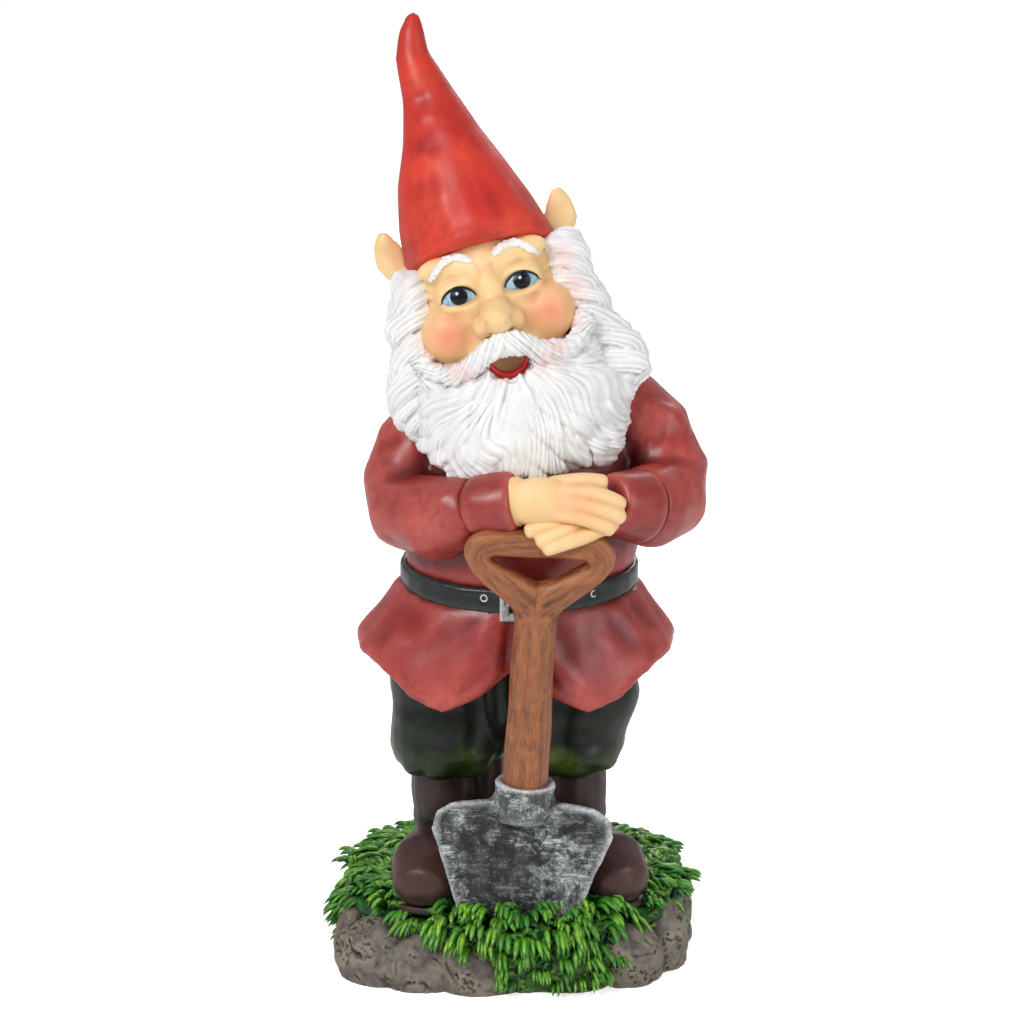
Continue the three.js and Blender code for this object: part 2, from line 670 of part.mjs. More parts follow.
// Everything below is in the head's own frame: its origin is the middle of the skull, and it is
// mirror-symmetric apart from the hat.
function buildHead() {
  const head = group(gnome, [HEAD.x, HEAD.y, HEAD.z], [-HEAD.back, -HEAD.tip, HEAD.turn]);
  const skull = join(
    ellipsoid([0, 0, 0], SKULL, 18),
    ellipsoid([0, -12, -14], [16, 15, 14], 14),
    ellipsoid([0, -5, 9], [23, 20.5, 19], 16),
    ellipsoid([-15.5, -13.5, -6.5], [10.5, 10.5, 10], 12),
    ellipsoid([15.5, -13.5, -6.5], [10.5, 10.5, 10], 12),
    ellipsoid([0, -28.5, -3], [5.6, 7.6, 5.4], 10),
  );
  piece(head, "head", "skin", skull);
  piece(head, "mouth", "skin", ellipsoid([0, -27, -18.5], [6.2, 5, 4.8], 10));
  const lip = [
    [-6.6, -28.4, -15.6, 0.9, 0.9],
    [-5.2, -30.4, -20.2, 1.3, 1.3],
    [0, -31.6, -23, 1.5, 1.5],
    [5.2, -30.4, -20.2, 1.3, 1.3],
    [6.6, -28.4, -15.6, 0.9, 0.9],
  ];
  piece(head, "lower_lip", "lip", limb(lip, { sides: 8, flat: [0, 1, 0] }));
  const moustache = [
    [-27, -15, -14.5, 1.8, 1.8],
    [-21, -22, -17.4, 4.4, 3.6],
    [-12, -28.4, -14.8, 5.2, 4],
    [0, -32, -11.2, 4.4, 3.8],
    [12, -28.4, -14.8, 5.2, 4],
    [21, -22, -17.4, 4.4, 3.6],
    [27, -15, -14.5, 1.8, 1.8],
  ];
  piece(head, "moustache", "hair", limb(moustache, { sides: 10 }));
  const beard = [
    [-1, 0, -9, 25.5, 12],
    [-10, 0, -10.5, 29, 18],
    [-22, 0, -11.5, 32, 21],
    [-34, 0, -12, 33.5, 21.5],
    [-45, 0, -13, 31.5, 20],
    [-53, 0, -14, 23, 15.5],
    [-57, 0, -14, 10, 8],
  ];
  piece(head, "beard", "hair", stack(beard.reverse(), { sides: 24 }));
  const nape = [
    [14, 0, 10, 22, 14],
    [4, 0, 11, 27, 18],
    [-12, 0, 11.5, 32, 20],
    [-26, 0, 12, 36, 21],
    [-37, 0, 12, 33, 18],
    [-43, 0, 12, 20, 11],
  ];
  piece(head, "hair_back", "hair", stack(nape.reverse(), { sides: 20 }));
  for (const [name, side] of [["left", 1], ["right", -1]]) {
    buildSideOfHead(head, name, side);
  }
  const hat = [
    [12, 0, 0.5, 24, 27, BRIM_SLOPE],
    [13.2, 0, 0.5, 25.4, 28.4, BRIM_SLOPE],
    [16.5, 0, 0.4, 25.2, 28, BRIM_SLOPE],
    [30, -1.4, 0, 22.4, 23, 0.36],
    [43, -2.4, -1, 18.4, 18.4, 0.22],
    [56, -3, -1, 12.8, 13, 0.1],
    [70, -3.8, 0, 8.2, 8.4, 0],
    [84, -5.4, 1, 5, 5, 0],
    [92, -3.6, 1.4, 3.6, 3.6, 0],
    [HAT_HEIGHT - 0.6, -2, 1.6, 1.8, 1.8, 0],
    [HAT_HEIGHT, -1.8, 1.6, 0.6, 0.6, 0],
  ];
  piece(head, "hat", "hat", stack(hat, { sides: 24 }));
}

function buildSideOfHead(head, name, side) {
  const eye = ellipsoid([side * 10.1, -20.6, 7.3], [5, 4, 3.6], 12);
  piece(head, `eye_${name}`, "eye", eye);
  const brow = [
    [3.6, -23.6, 16.6, 0.9, 0.7],
    [8, -23.4, 18, 1.5, 1.2],
    [13.5, -21, 17.2, 1.4, 1.2],
    [19.4, -14.8, 11.8, 0.7, 0.7],
  ];
  const browRows = brow.map(([x, ...rest]) => [side * x, ...rest]);
  piece(head, `eyebrow_${name}`, "hair", limb(browRows, { sides: 8 }));
  const ear = [
    [21, 4, 14, 4.6, 2.6],
    [26.5, 4.5, 17, 6.4, 3],
    [30.2, 5, 21.5, 4.6, 2.3],
    [31, 5.4, 26, 2.5, 1.4],
    [30.4, 5.6, 30.4, 0.6, 0.5],
  ];
  const earRows = ear.map(([x, ...rest]) => [side * x, ...rest]);
  piece(head, `ear_${name}`, "skin", limb(earRows, { sides: 10, flat: [1, 0, -0.6] }));
  const lock = [
    [25.5, 0, 14.5, 3, 3],
    [29, 0, 9, 6, 6],
    [31.5, 0, -2, 7.5, 8],
    [34, 0, -14, 8.5, 9],
    [35.5, 0, -25, 9, 9],
    [35, 1, -33, 6.5, 6.5],
    [33, 1, -38, 2, 2],
  ];
  const lockRows = lock.map(([x, ...rest]) => [side * x, ...rest]);
  piece(head, `hair_${name}`, "hair", limb(lockRows, { flat: [1, 0, 0] }));
}

function buildNeckRod() {
  piece(gnome, "neck_rod", "steel", post([-2, 4], 184, 212, ROD_RADIUS + 0.6, ROD_RADIUS + 0.6, 10));
}

// ---------------------------------------------------------------- assembly

buildBase();
buildLegs();
buildCoat();
buildBelt();
buildSpade();
buildHands();
buildHead();
buildNeckRod();

const stoneNames = Object.keys(STONES);
const sleeves = ["coat_sleeve_left", "coat_sleeve_right"];
const cuffs = ["coat_cuff_left", "coat_cuff_right"];
const hands = ["hand_right", "hand_left"];
const ears = ["ear_left", "ear_right"];
const eyes = ["eye_left", "eye_right"];
const brows = ["eyebrow_left", "eyebrow_right"];
const rods = ["leg_rod_left", "leg_rod_right"];

fit("stone_front", "stone_front_right");
fit("base_mound", ...stoneNames, ...rods);
fit("turf", ...stoneNames, "boot_sole_left", "boot_sole_right", "spade_blade", ...rods);
for (const side of ["left", "right"]) {
  fit(`boot_sole_${side}`, `leg_rod_${side}`);
  fit(`boot_${side}`, `leg_rod_${side}`);
  fit(`trouser_leg_${side}`, `boot_${side}`, `leg_rod_${side}`);
}
fit("coat_skirt", "trouser_leg_left", "trouser_leg_right", "belt", "belt_buckle");
fit("belt", "belt_buckle", "belt_eyelet_left", "belt_eyelet_right");
fit("belt_buckle", "buckle_prong");
fit("coat_body", "belt", "head", "neck_rod");
fit("spade_shaft", "spade_rod");
fit("spade_grip", "spade_rod");
fit("spade_blade", "spade_shaft");
fit("hand_right", "spade_grip");
fit("hand_left", "hand_right", "spade_grip");
fit("coat_cuff_left", "coat_body", ...hands, "spade_grip");
fit("coat_cuff_right", "coat_body", ...hands, "spade_grip");
fit("coat_sleeve_left", "coat_body", "coat_cuff_left", "hand_left");
fit("coat_sleeve_right", "coat_body", "coat_cuff_right", "hand_right", "spade_grip");
fit("head", "mouth", ...eyes, "neck_rod");
for (const name of [...ears, ...brows]) {
  fit(name, "head");
}
fit("moustache", "head");
fit("mouth", "moustache");
fit("lower_lip", "head", "mouth", "moustache");
fit("hat", "head", ...ears, ...brows);
fit("beard", "head", "mouth", "lower_lip", "moustache", "coat_body", ...sleeves, ...cuffs, ...hands);
for (const side of ["left", "right"]) {
  fit(`hair_${side}`, "head", "hat", `ear_${side}`, "moustache", "beard", "coat_body", ...sleeves);
}
fit("hair_back", "head", "hat", ...ears, "hair_left", "hair_right", "beard", "coat_body", ...sleeves);

// Stands the group on Z = 0 with the origin under the middle of its box.
gnome.updateMatrixWorld(true);
const bounds = new THREE.Box3().setFromObject(gnome, true);
const middle = bounds.getCenter(new THREE.Vector3());
gnome.position.set(-middle.x, -middle.y, -bounds.min.z);

export default gnome;
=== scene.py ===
"""Looks of a painted cast-resin garden gnome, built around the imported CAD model.

Shapes are sculpted in millimetres as numpy arrays and turned into meshes in metres at the end.
Four frames are used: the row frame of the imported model; the figure frame, whose origin is on the
ground under the middle of the base mound; the head frame, whose origin is the middle of the tipped
skull; and the spade frame, whose origin is the foot of the shaft.
Left and right are the gnome's own: +X is its left, and it faces -Y.
"""

import json
import math

import bpy
import numpy as np
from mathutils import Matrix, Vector
from mathutils.bvhtree import BVHTree

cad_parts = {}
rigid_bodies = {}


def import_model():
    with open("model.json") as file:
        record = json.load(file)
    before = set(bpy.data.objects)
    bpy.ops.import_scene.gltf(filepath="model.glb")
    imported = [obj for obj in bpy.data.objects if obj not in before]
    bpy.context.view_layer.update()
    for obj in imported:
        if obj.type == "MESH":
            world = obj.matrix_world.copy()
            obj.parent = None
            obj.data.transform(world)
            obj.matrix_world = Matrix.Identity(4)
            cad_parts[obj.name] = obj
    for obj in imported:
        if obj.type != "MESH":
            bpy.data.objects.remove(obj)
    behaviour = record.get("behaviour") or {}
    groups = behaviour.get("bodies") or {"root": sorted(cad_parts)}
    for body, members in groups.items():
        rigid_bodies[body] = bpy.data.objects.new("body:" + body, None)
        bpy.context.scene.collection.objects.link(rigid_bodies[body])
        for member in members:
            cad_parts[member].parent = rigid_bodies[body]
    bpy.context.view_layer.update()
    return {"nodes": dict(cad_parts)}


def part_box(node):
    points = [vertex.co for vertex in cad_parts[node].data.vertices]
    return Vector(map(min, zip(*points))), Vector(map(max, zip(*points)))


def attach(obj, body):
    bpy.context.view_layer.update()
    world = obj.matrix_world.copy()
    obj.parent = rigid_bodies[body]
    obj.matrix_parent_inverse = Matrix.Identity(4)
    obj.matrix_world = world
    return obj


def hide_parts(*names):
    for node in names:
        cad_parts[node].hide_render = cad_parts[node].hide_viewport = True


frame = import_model()

MM = 0.001
rng = np.random.default_rng(7)


# ---------------------------------------------------------------- frames

def turn(axis, degrees):
    """The matrix of a turn about axis 0, 1 or 2."""
    a, b = (axis + 1) % 3, (axis + 2) % 3
    matrix = np.eye(3)
    matrix[a, a] = matrix[b, b] = math.cos(math.radians(degrees))
    matrix[b, a] = math.sin(math.radians(degrees))
    matrix[a, b] = -matrix[b, a]
    return matrix


def bearing(degrees):
    """Unit vector on the ground, 0 to the front and 90 to the gnome's left."""
    return np.array([math.sin(math.radians(degrees)), -math.cos(math.radians(degrees)), 0])


def box_mm(node):
    low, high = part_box(node)
    return np.array(low) / MM, np.array(high) / MM


mound_low, mound_high = box_mm("base_mound")
FIGURE = np.array([*(mound_low + mound_high)[:2] / 2, 0])
HEAD_CENTRE = np.array([-7.5, -3, 226]) + FIGURE
HEAD_TURN = turn(2, 4) @ turn(1, -14) @ turn(0, -7)
SPADE_FOOT = np.array([3.4, -44.6, 73]) + FIGURE
SPADE_TURN = turn(1, 3.4)


def on_figure(points):
    return np.asarray(points, float) + FIGURE


def on_head(points):
    return np.asarray(points, float) @ HEAD_TURN.T + HEAD_CENTRE


def to_head(points):
    return (points - HEAD_CENTRE) @ HEAD_TURN


def on_spade(points):
    return np.asarray(points, float) @ SPADE_TURN.T + SPADE_FOOT


def to_spade(points):
    return (points - SPADE_FOOT) @ SPADE_TURN


NOISE_TURN = turn(2, 31) @ turn(1, 23) @ turn(0, 37)


# ---------------------------------------------------------------- number helpers

def smoothstep(low, high, x):
    t = np.clip((x - low) / (high - low), 0, 1)
    return t * t * (3 - 2 * t)


def bell(x, width):
    return np.exp(-(x / width) ** 2)


def nearness(points, centre, radius):
    """How near points are to a place in the figure frame: 1 there, fading out past `radius`."""
    return bell(np.linalg.norm(points - on_figure(centre), axis=1), radius)


def lattice(ix, iy, iz, seed):
    """A repeatable random number in -1..1 for each point of a lattice."""
    h = (ix * 374761393 + iy * 668265263 + iz * 2147483647 + seed * 1274126177) & 0xFFFFFFFF
    h = ((h ^ (h >> 13)) * 1274126177) & 0xFFFFFFFF
    h = (h ^ (h >> 16)) & 0xFFFFFF
    return h / 0x7FFFFF - 1.0


def noise(points, size, seed=0):
    """Smooth noise in -1..1 with features about `size` millimetres across (one or one per axis)."""
    q = points / np.asarray(size, float) @ NOISE_TURN
    base = np.floor(q).astype(np.int64)
    t = q - base
    t = t * t * (3 - 2 * t)
    total = np.zeros(len(points))
    for dx in (0, 1):
        wx = t[:, 0] if dx else 1 - t[:, 0]
        for dy in (0, 1):
            wy = t[:, 1] if dy else 1 - t[:, 1]
            for dz in (0, 1):
                wz = t[:, 2] if dz else 1 - t[:, 2]
                corner = lattice(base[:, 0] + dx, base[:, 1] + dy, base[:, 2] + dz, seed)
                total += wx * wy * wz * corner
    return total


def rough_noise(points, size, octaves=3, seed=0):
    total = np.zeros(len(points))
    for k in range(octaves):
        total += noise(points, np.asarray(size, float) / 2**k, seed + 17 * k) / 2**k
    return total


def spline(rows, count):
    """`count` rows spaced along a Catmull-Rom spline through the given rows."""
    rows = np.asarray(rows, float)
    last = len(rows) - 1
    t = np.linspace(0, last, count)
    i = np.minimum(t.astype(int), last - 1)
    f = (t - i)[:, None]
    p0, p1 = rows[np.maximum(i - 1, 0)], rows[i]
    p2, p3 = rows[i + 1], rows[np.minimum(i + 2, last)]
    leave, arrive = (p2 - p0) / 2, (p3 - p1) / 2
    rise = p2 - p1
    bend, twist = 3 * rise - 2 * leave - arrive, leave + arrive - 2 * rise
    return p1 + f * (leave + f * (bend + f * twist))


def evened(path, rounds):
    """A path with its inner points smoothed."""
    for _ in range(rounds):
        path[1:-1] = (path[:-2] + 2 * path[1:-1] + path[2:]) / 4
    return path


def path_distance(points, path):
    """Each point's distance from a polyline, and how far along it (0..1) the nearest place is."""
    path = np.asarray(path, float)
    lengths = np.linalg.norm(np.diff(path, axis=0), axis=1)
    starts = np.concatenate([[0], np.cumsum(lengths)])
    best = np.full(len(points), np.inf)
    along = np.zeros(len(points))
    for a, b, length, start in zip(path[:-1], path[1:], lengths, starts):
        way = (b - a) / max(length, 1e-9)
        t = np.clip((points - a) @ way, 0, length)
        gap = np.linalg.norm(points - a - t[:, None] * way, axis=1)
        nearer = gap < best
        best[nearer] = gap[nearer]
        along[nearer] = (start + t[nearer]) / starts[-1]
    return best, along


# ---------------------------------------------------------------- meshes

def new_mesh(name, points, faces):
    """A mesh from points in millimetres and face arrays, each with one number of corners."""
    mesh = bpy.data.meshes.new(name)
    faces = [np.asarray(f, np.int32) for f in faces if len(f)]
    totals = np.concatenate([np.full(len(f), f.shape[1], np.int32) for f in faces])
    mesh.vertices.add(len(points))
    mesh.vertices.foreach_set("co", (np.asarray(points) * MM).astype(np.float32).ravel())
    mesh.loops.add(int(totals.sum()))
    mesh.loops.foreach_set("vertex_index", np.concatenate([f.ravel() for f in faces]))
    mesh.polygons.add(len(totals))
    starts = np.concatenate([[0], np.cumsum(totals)[:-1]]).astype(np.int32)
    mesh.polygons.foreach_set("loop_start", starts)
    mesh.polygons.foreach_set("use_smooth", np.ones(len(totals), bool))
    mesh.update(calc_edges=True)
    mesh.validate()
    return mesh


def show(name, points, faces, material, slot, replaces=(), **attributes):
    """Makes a visible piece that rides on the root body, with float attributes on its points."""
    mesh = new_mesh(name, points, faces)
    for key, values in attributes.items():
        values = np.asarray(values, np.float32)
        kind, field = ("FLOAT", "value") if values.ndim == 1 else ("FLOAT_VECTOR", "vector")
        mesh.attributes.new(key, kind, "POINT").data.foreach_set(field, values.ravel())
    mesh.materials.append(material)
    piece = bpy.data.objects.new(name, mesh)
    bpy.context.scene.collection.objects.link(piece)
    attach(piece, "root")
    if replaces:
        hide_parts(*replaces)
    return piece


def cad_surface(nodes, swell=0.0):
    """Points and triangles of CAD nodes in millimetres, each swollen along its normals."""
    all_points, all_faces, count = [], [], 0
    for node in nodes:
        mesh = frame["nodes"][node].data
        points = np.empty(len(mesh.vertices) * 3)
        mesh.vertices.foreach_get("co", points)
        points = points.reshape(-1, 3) / MM
        mesh.calc_loop_triangles()
        faces = np.empty(len(mesh.loop_triangles) * 3, np.int32)
        mesh.loop_triangles.foreach_get("vertices", faces)
        _, first, merged = np.unique(np.round(points, 3), axis=0, return_index=True,
                                     return_inverse=True)
        points, faces = points[first], merged.reshape(-1)[faces].reshape(-1, 3)
        if swell:
            points = points + swell * vertex_normals(points, faces)
        all_points.append(points)
        all_faces.append(faces + count)
        count += len(points)
    return np.concatenate(all_points), np.concatenate(all_faces)


def vertex_normals(points, faces):
    a, b = points[faces[:, 0]], points[faces[:, 1]]
    c, d = points[faces[:, 2]], points[faces[:, -1]]
    flat = np.cross(c - a, d - b) if faces.shape[1] == 4 else np.cross(b - a, c - a)
    total = np.zeros_like(points)
    for k in range(faces.shape[1]):
        for axis in range(3):
            total[:, axis] += np.bincount(faces[:, k], flat[:, axis], len(points))
    return total / np.maximum(np.linalg.norm(total, axis=1), 1e-9)[:, None]


class Clay:
    """A sculpted surface: points in millimetres in the row frame, joined by four-cornered faces."""

    def __init__(self, points, faces):
        self.p, self.f = points, faces
        pairs = np.concatenate([faces[:, [k, (k + 1) % 4]] for k in range(4)])
        self.edges = np.unique(np.sort(pairs, axis=1), axis=0)
        a, b = self.edges.T
        self.degree = np.bincount(a, minlength=len(points)) + np.bincount(b, minlength=len(points))

    def spread(self, values, rounds, share=0.5):
        a, b = self.edges.T
        n = len(values)
        for _ in range(rounds):
            columns = values.reshape(n, -1).T
            near = [np.bincount(a, c[b], n) + np.bincount(b, c[a], n) for c in columns]
            near = (np.array(near) / self.degree).T.reshape(values.shape)
            values = values + share * (near - values)
        return values

    def relax(self, rounds):
        self.p = self.spread(self.p, rounds)
        return self

    def normals(self):
        return vertex_normals(self.p, self.f)

    def push(self, amount):
        self.p = self.p + self.normals() * np.asarray(amount)[:, None]
        return self

    def crease(self, path, width, depth, fade=0.2):
        """Pushes the surface out by `depth` (in, if negative) along a path, less at its ends."""
        gap, along = path_distance(self.p, path)
        ends = smoothstep(0, fade, along) * smoothstep(0, fade, 1 - along)
        return self.push(depth * bell(gap, width) * ends)

    def fold(self, folds, gain, fade):
        """Creases along each (points in the figure frame, width, height)."""
        for path, width, depth in folds:
            self.crease(on_figure(path), width, gain * depth, fade)

    def soften(self, share, rounds):
        """Smooths the surface where `share` (0..1 for each point) is high."""
        self.p = self.p + share[:, None] * (self.spread(self.p, rounds) - self.p)
        return self

    def tree(self):
        return BVHTree.FromPolygons((self.p * MM).tolist(), self.f.tolist())

    def hollows(self, fine=2, broad=14, gain=1.0):
        """How hollow and how raised each point is, 0 to 1, at two scales: painted shade and
        highlight.
        """
        normals = self.normals()
        near = self.spread(self.p, fine)
        far = self.spread(near, broad)
        small = ((near - self.p) * normals).sum(1)
        large = ((far - near) * normals).sum(1)
        # Curvature stands in for light: hollows get painted shade, raised places a painted
        # highlight.
        bent = self.spread(small / 0.05 + large / 0.22, 1) * gain
        return {"wash": np.clip(bent, 0, 1), "wear": np.clip(-bent, 0, 1)}

    def show(self, name, material, slot, replaces=(), **attributes):
        return show(name, self.p, [self.f], material, slot, replaces, **attributes)


def clay(nodes, voxel, swell=0.0, extras=(), relax=3):
    """One closed surface of even four-cornered faces round CAD nodes and extra closed shapes."""
    nothing = np.zeros((0, 3)), np.zeros((0, 3), int)
    points, faces = cad_surface(nodes, swell) if nodes else nothing
    polygons = [faces]
    for extra_points, extra_faces in extras:
        polygons += [f + len(points) for f in extra_faces]
        points = np.concatenate([points, extra_points])
    mesh = new_mesh("work", points, polygons)
    work = bpy.data.objects.new("work", mesh)
    bpy.context.scene.collection.objects.link(work)
    remesh = work.modifiers.new("remesh", "REMESH")
    remesh.mode = "VOXEL"
    remesh.voxel_size = voxel * MM
    made = work.evaluated_get(bpy.context.evaluated_depsgraph_get()).to_mesh()
    count = len(made.vertices)
    co = np.empty(count * 3)
    made.vertices.foreach_get("co", co)
    quads = np.empty(len(made.polygons) * 4, np.int32)
    made.polygons.foreach_get("vertices", quads)
    work.to_mesh_clear()
    bpy.data.objects.remove(work)
    bpy.data.meshes.remove(mesh)
    return Clay(co.reshape(-1, 3) / MM, quads.reshape(-1, 4)).relax(relax)


def ring_steps(sides):
    """The numbers of the points of a ring, and of the next point round."""
    s = np.arange(sides)
    return s, (s + 1) % sides


def tube(path, width, thickness, sides=12, flat=(0, 0, 1), flutes=0, depth=0.12, phase=0.0):
    """A closed tapering tube. Its section is `width` wide across the direction `flat` (one, or one
    for each row) and `thickness` thick along it. Flutes groove it lengthwise."""
    path = np.asarray(path, float)
    count = len(path)
    along = np.gradient(path, axis=0)
    along /= np.linalg.norm(along, axis=1)[:, None]
    out = np.broadcast_to(np.asarray(flat, float), (count, 3))
    side = np.cross(along, out)
    side /= np.maximum(np.linalg.norm(side, axis=1), 1e-6)[:, None]
    out = np.cross(side, along)
    angle = np.arange(sides) * 2 * np.pi / sides
    ridge = 1 + depth * np.cos(flutes * angle + phase) if flutes else np.ones(sides)
    width = np.broadcast_to(width, count)
    thickness = np.broadcast_to(thickness, count)
    rings = (
        path[:, None]
        + side[:, None] * (width[:, None] * (np.cos(angle) * ridge))[..., None]
        + out[:, None] * (thickness[:, None] * (np.sin(angle) * ridge))[..., None]
    )
    points = np.concatenate([rings.reshape(-1, 3), path[:1], path[-1:]])
    s, nxt = ring_steps(sides)
    rows = np.arange(count - 1)[:, None] * sides
    quads = np.stack([rows + s, rows + sides + s, rows + sides + nxt, rows + nxt], -1)
    quads = quads.reshape(-1, 4)
    first, last = count * sides, count * sides + 1
    start = np.stack([np.full(sides, first), s, nxt], -1)
    top = (count - 1) * sides
    end = np.stack([np.full(sides, last), top + nxt, top + s], -1)
    return points, [quads, np.concatenate([start, end])]


def ball(centre, radii, sides=20):
    """A closed ellipsoid in the row frame."""
    pole = 0.04
    t = np.linspace(pole, np.pi - pole, sides // 2 + 3)
    path = np.stack([0 * t, 0 * t, -np.cos(t)], -1)
    points, faces = tube(path, np.sin(t), np.sin(t), sides, (0, 1, 0))
    return points * np.asarray(radii) + np.asarray(centre), faces


def gather(parts):
    """Joins many (points, faces) shapes into one."""
    points, by_size, count = [], {}, 0
    for part_points, part_faces in parts:
        points.append(part_points)
        for f in part_faces:
            by_size.setdefault(f.shape[1], []).append(f + count)
        count += len(part_points)
    return np.concatenate(points), [np.concatenate(f) for f in by_size.values()]


# ---------------------------------------------------------------- materials

def colour(red, green, blue):
    """A linear colour from one given as 0 to 255 on a screen."""
    c = np.array([red, green, blue]) / 255
    return (*np.where(c <= 0.04045, c / 12.92, ((c + 0.055) / 1.055) ** 2.4), 1.0)


class Shader:
    """Builds a node material with short calls."""

    def __init__(self, name):
        self.material = bpy.data.materials.new(name)
        self.material.use_nodes = True
        self.tree = self.material.node_tree
        self.tree.nodes.clear()
        out = self.tree.nodes.new("ShaderNodeOutputMaterial")
        self.surface = self.node("ShaderNodeBsdfPrincipled")
        self.tree.links.new(self.surface.outputs[0], out.inputs["Surface"])
        self.where = self.node("ShaderNodeTexCoord").outputs["Object"]

    def node(self, kind, settings=None, **inputs):
        made = self.tree.nodes.new(kind)
        for key, value in (settings or {}).items():
            setattr(made, key, value)
        for key, value in inputs.items():
            self.put(made.inputs[key.replace("_", " ")], value)
        return made

    def put(self, socket, value):
        if isinstance(value, bpy.types.NodeSocket):
            self.tree.links.new(value, socket)
        else:
            socket.default_value = value

    def noise(self, size, detail=2.0, distortion=0.0, stretch=(1, 1, 1), rough=0.5):
        """Noise of about `size` millimetres, longer along the axes with a large stretch."""
        scale = [1 / (size * MM * s) for s in stretch]
        where = self.node("ShaderNodeMapping", Vector=self.where, Scale=scale).outputs[0]
        made = self.node("ShaderNodeTexNoise", Vector=where, Scale=1.0, Detail=detail,
                         Distortion=distortion, Roughness=rough)
        return made.outputs["Fac"]

    def attribute(self, name):
        return self.node("ShaderNodeAttribute", {"attribute_name": name}).outputs["Fac"]

    def span(self, value, low, high, to_low=0.0, to_high=1.0):
        made = self.node("ShaderNodeMapRange", {"interpolation_type": "SMOOTHSTEP"})
        for socket, v in zip(made.inputs, (value, low, high, to_low, to_high)):
            self.put(socket, v)
        return made.outputs[0]

    def math(self, operation, a, b):
        made = self.node("ShaderNodeMath", {"operation": operation, "use_clamp": True})
        self.put(made.inputs[0], a)
        self.put(made.inputs[1], b)
        return made.outputs[0]

    def times(self, a, b):
        return self.math("MULTIPLY", a, b)

    def mix(self, share, a, b):
        """A mix of two paints, each a socket or a colour given as 0 to 255 on a screen."""
        made = self.node("ShaderNodeMix", {"data_type": "RGBA"})
        self.put(made.inputs["Factor"], share)
        for place, paint in ((6, a), (7, b)):
            self.put(made.inputs[place], colour(*paint) if isinstance(paint, tuple) else paint)
        return made.outputs[2]

    def over(self, paint, name, amount, tint):
        """Lays a tint over paint where the named attribute of the mesh is high."""
        return self.mix(self.times(self.attribute(name), amount), paint, tint)

    def finish(self, paint, rough, bump=None, height=0.2, **constants):
        self.put(self.surface.inputs["Base Color"], paint)
        self.put(self.surface.inputs["Roughness"], rough)
        for key, value in constants.items():
            self.put(self.surface.inputs[key.replace("_", " ")], value)
        if bump is not None:
            lift = self.node("ShaderNodeBump", Strength=1.0, Distance=height * MM, Height=bump)
            self.put(self.surface.inputs["Normal"], lift.outputs[0])
        return self.material


def resin(name, main, second, wash, light, rough=(0.35, 0.5), patch=16, washing=0.8,
          wearing=0.6, grain=0.9, height=0.05, **constants):
    """Brushed paint on resin: two tones in patches, painted shade in the hollows and a painted
    highlight on raised places.
    """
    s = Shader(name)
    patches = s.span(s.noise(patch, 3, 0.6), 0.38, 0.62)
    strokes = s.noise(4, 3, 0.8)
    paint = s.mix(patches, main, second)
    # A painted highlight on raised places, broken into brush strokes.
    brushed = s.times(s.attribute("wear"), s.span(strokes, 0.3, 0.62, 0.6, 1.0))
    paint = s.mix(s.times(brushed, wearing), paint, light)
    # Painted shade in the hollows, in soft patches.
    shaded = s.times(s.attribute("wash"), s.span(s.noise(3, 2), 0.3, 0.6, 0.6, 1.0))
    paint = s.mix(s.times(shaded, washing), paint, wash)
    finish = s.span(s.noise(7, 3, 0.4), 0.3, 0.7, *rough)
    return s.finish(paint, finish, s.noise(grain, 3), height, **constants)


# Each paint: two tones, the colours of its painted shade and painted highlight, then roughness,
# patch size, shade and highlight amounts, grain and bump height.
coat_paint = resin("coat_paint", (146, 38, 36), (122, 27, 29), (50, 8, 12), (208, 100, 90),
                   (0.28, 0.4), 24, 0.85, 0.75)
hat_paint = resin("hat_paint", (194, 32, 22), (172, 23, 19), (110, 12, 12), (230, 76, 48),
                  (0.4, 0.52), 16, 0.5, 0.75)
trouser_paint = resin("trouser_paint", (13, 21, 18), (9, 15, 14), (3, 5, 5), (92, 112, 40),
                      (0.26, 0.38), 18, 0.7, 0.8, Specular_IOR_Level=0.36)
boot_paint = resin("boot_paint", (52, 34, 33), (42, 28, 28), (12, 8, 8), (112, 68, 62),
                   (0.32, 0.44), 16, 0.8, 0.6, Specular_IOR_Level=0.4)
sole_paint = resin("sole_paint", (34, 21, 20), (26, 17, 17), (8, 6, 6), (66, 44, 40), (0.45, 0.6),
                   8)
belt_paint = resin("belt_paint", (11, 16, 16), (7, 11, 11), (2, 3, 3), (84, 100, 98), (0.16, 0.3),
                   10, 0.8, 0.5, Specular_IOR_Level=0.42)
silver_paint = resin("silver_paint", (190, 190, 190), (150, 150, 152), (40, 40, 42),
                     (240, 240, 240), (0.25, 0.4), 3, 0.8, 0.8, Metallic=0.5)
brow_paint = resin("brow_paint", (240, 240, 238), (232, 232, 232), (200, 178, 160),
                   (250, 250, 250), (0.4, 0.5), 5, 0.6, 0.5)
lip_paint = resin("lip_paint", (214, 22, 24), (200, 18, 22), (120, 10, 14), (240, 84, 76),
                  (0.22, 0.32), 4)
stone_paint = resin("stone_paint", (114, 107, 97), (89, 83, 78), (22, 19, 19), (170, 152, 128),
                    (0.5, 0.68), 6, 0.95, 0.5, 0.5, 0.2)
earth_paint = resin("earth_paint", (30, 74, 26), (54, 92, 30), (10, 26, 10), (128, 168, 48),
                    (0.5, 0.7), 5, 0.95, 0.8, 0.6, 0.15)


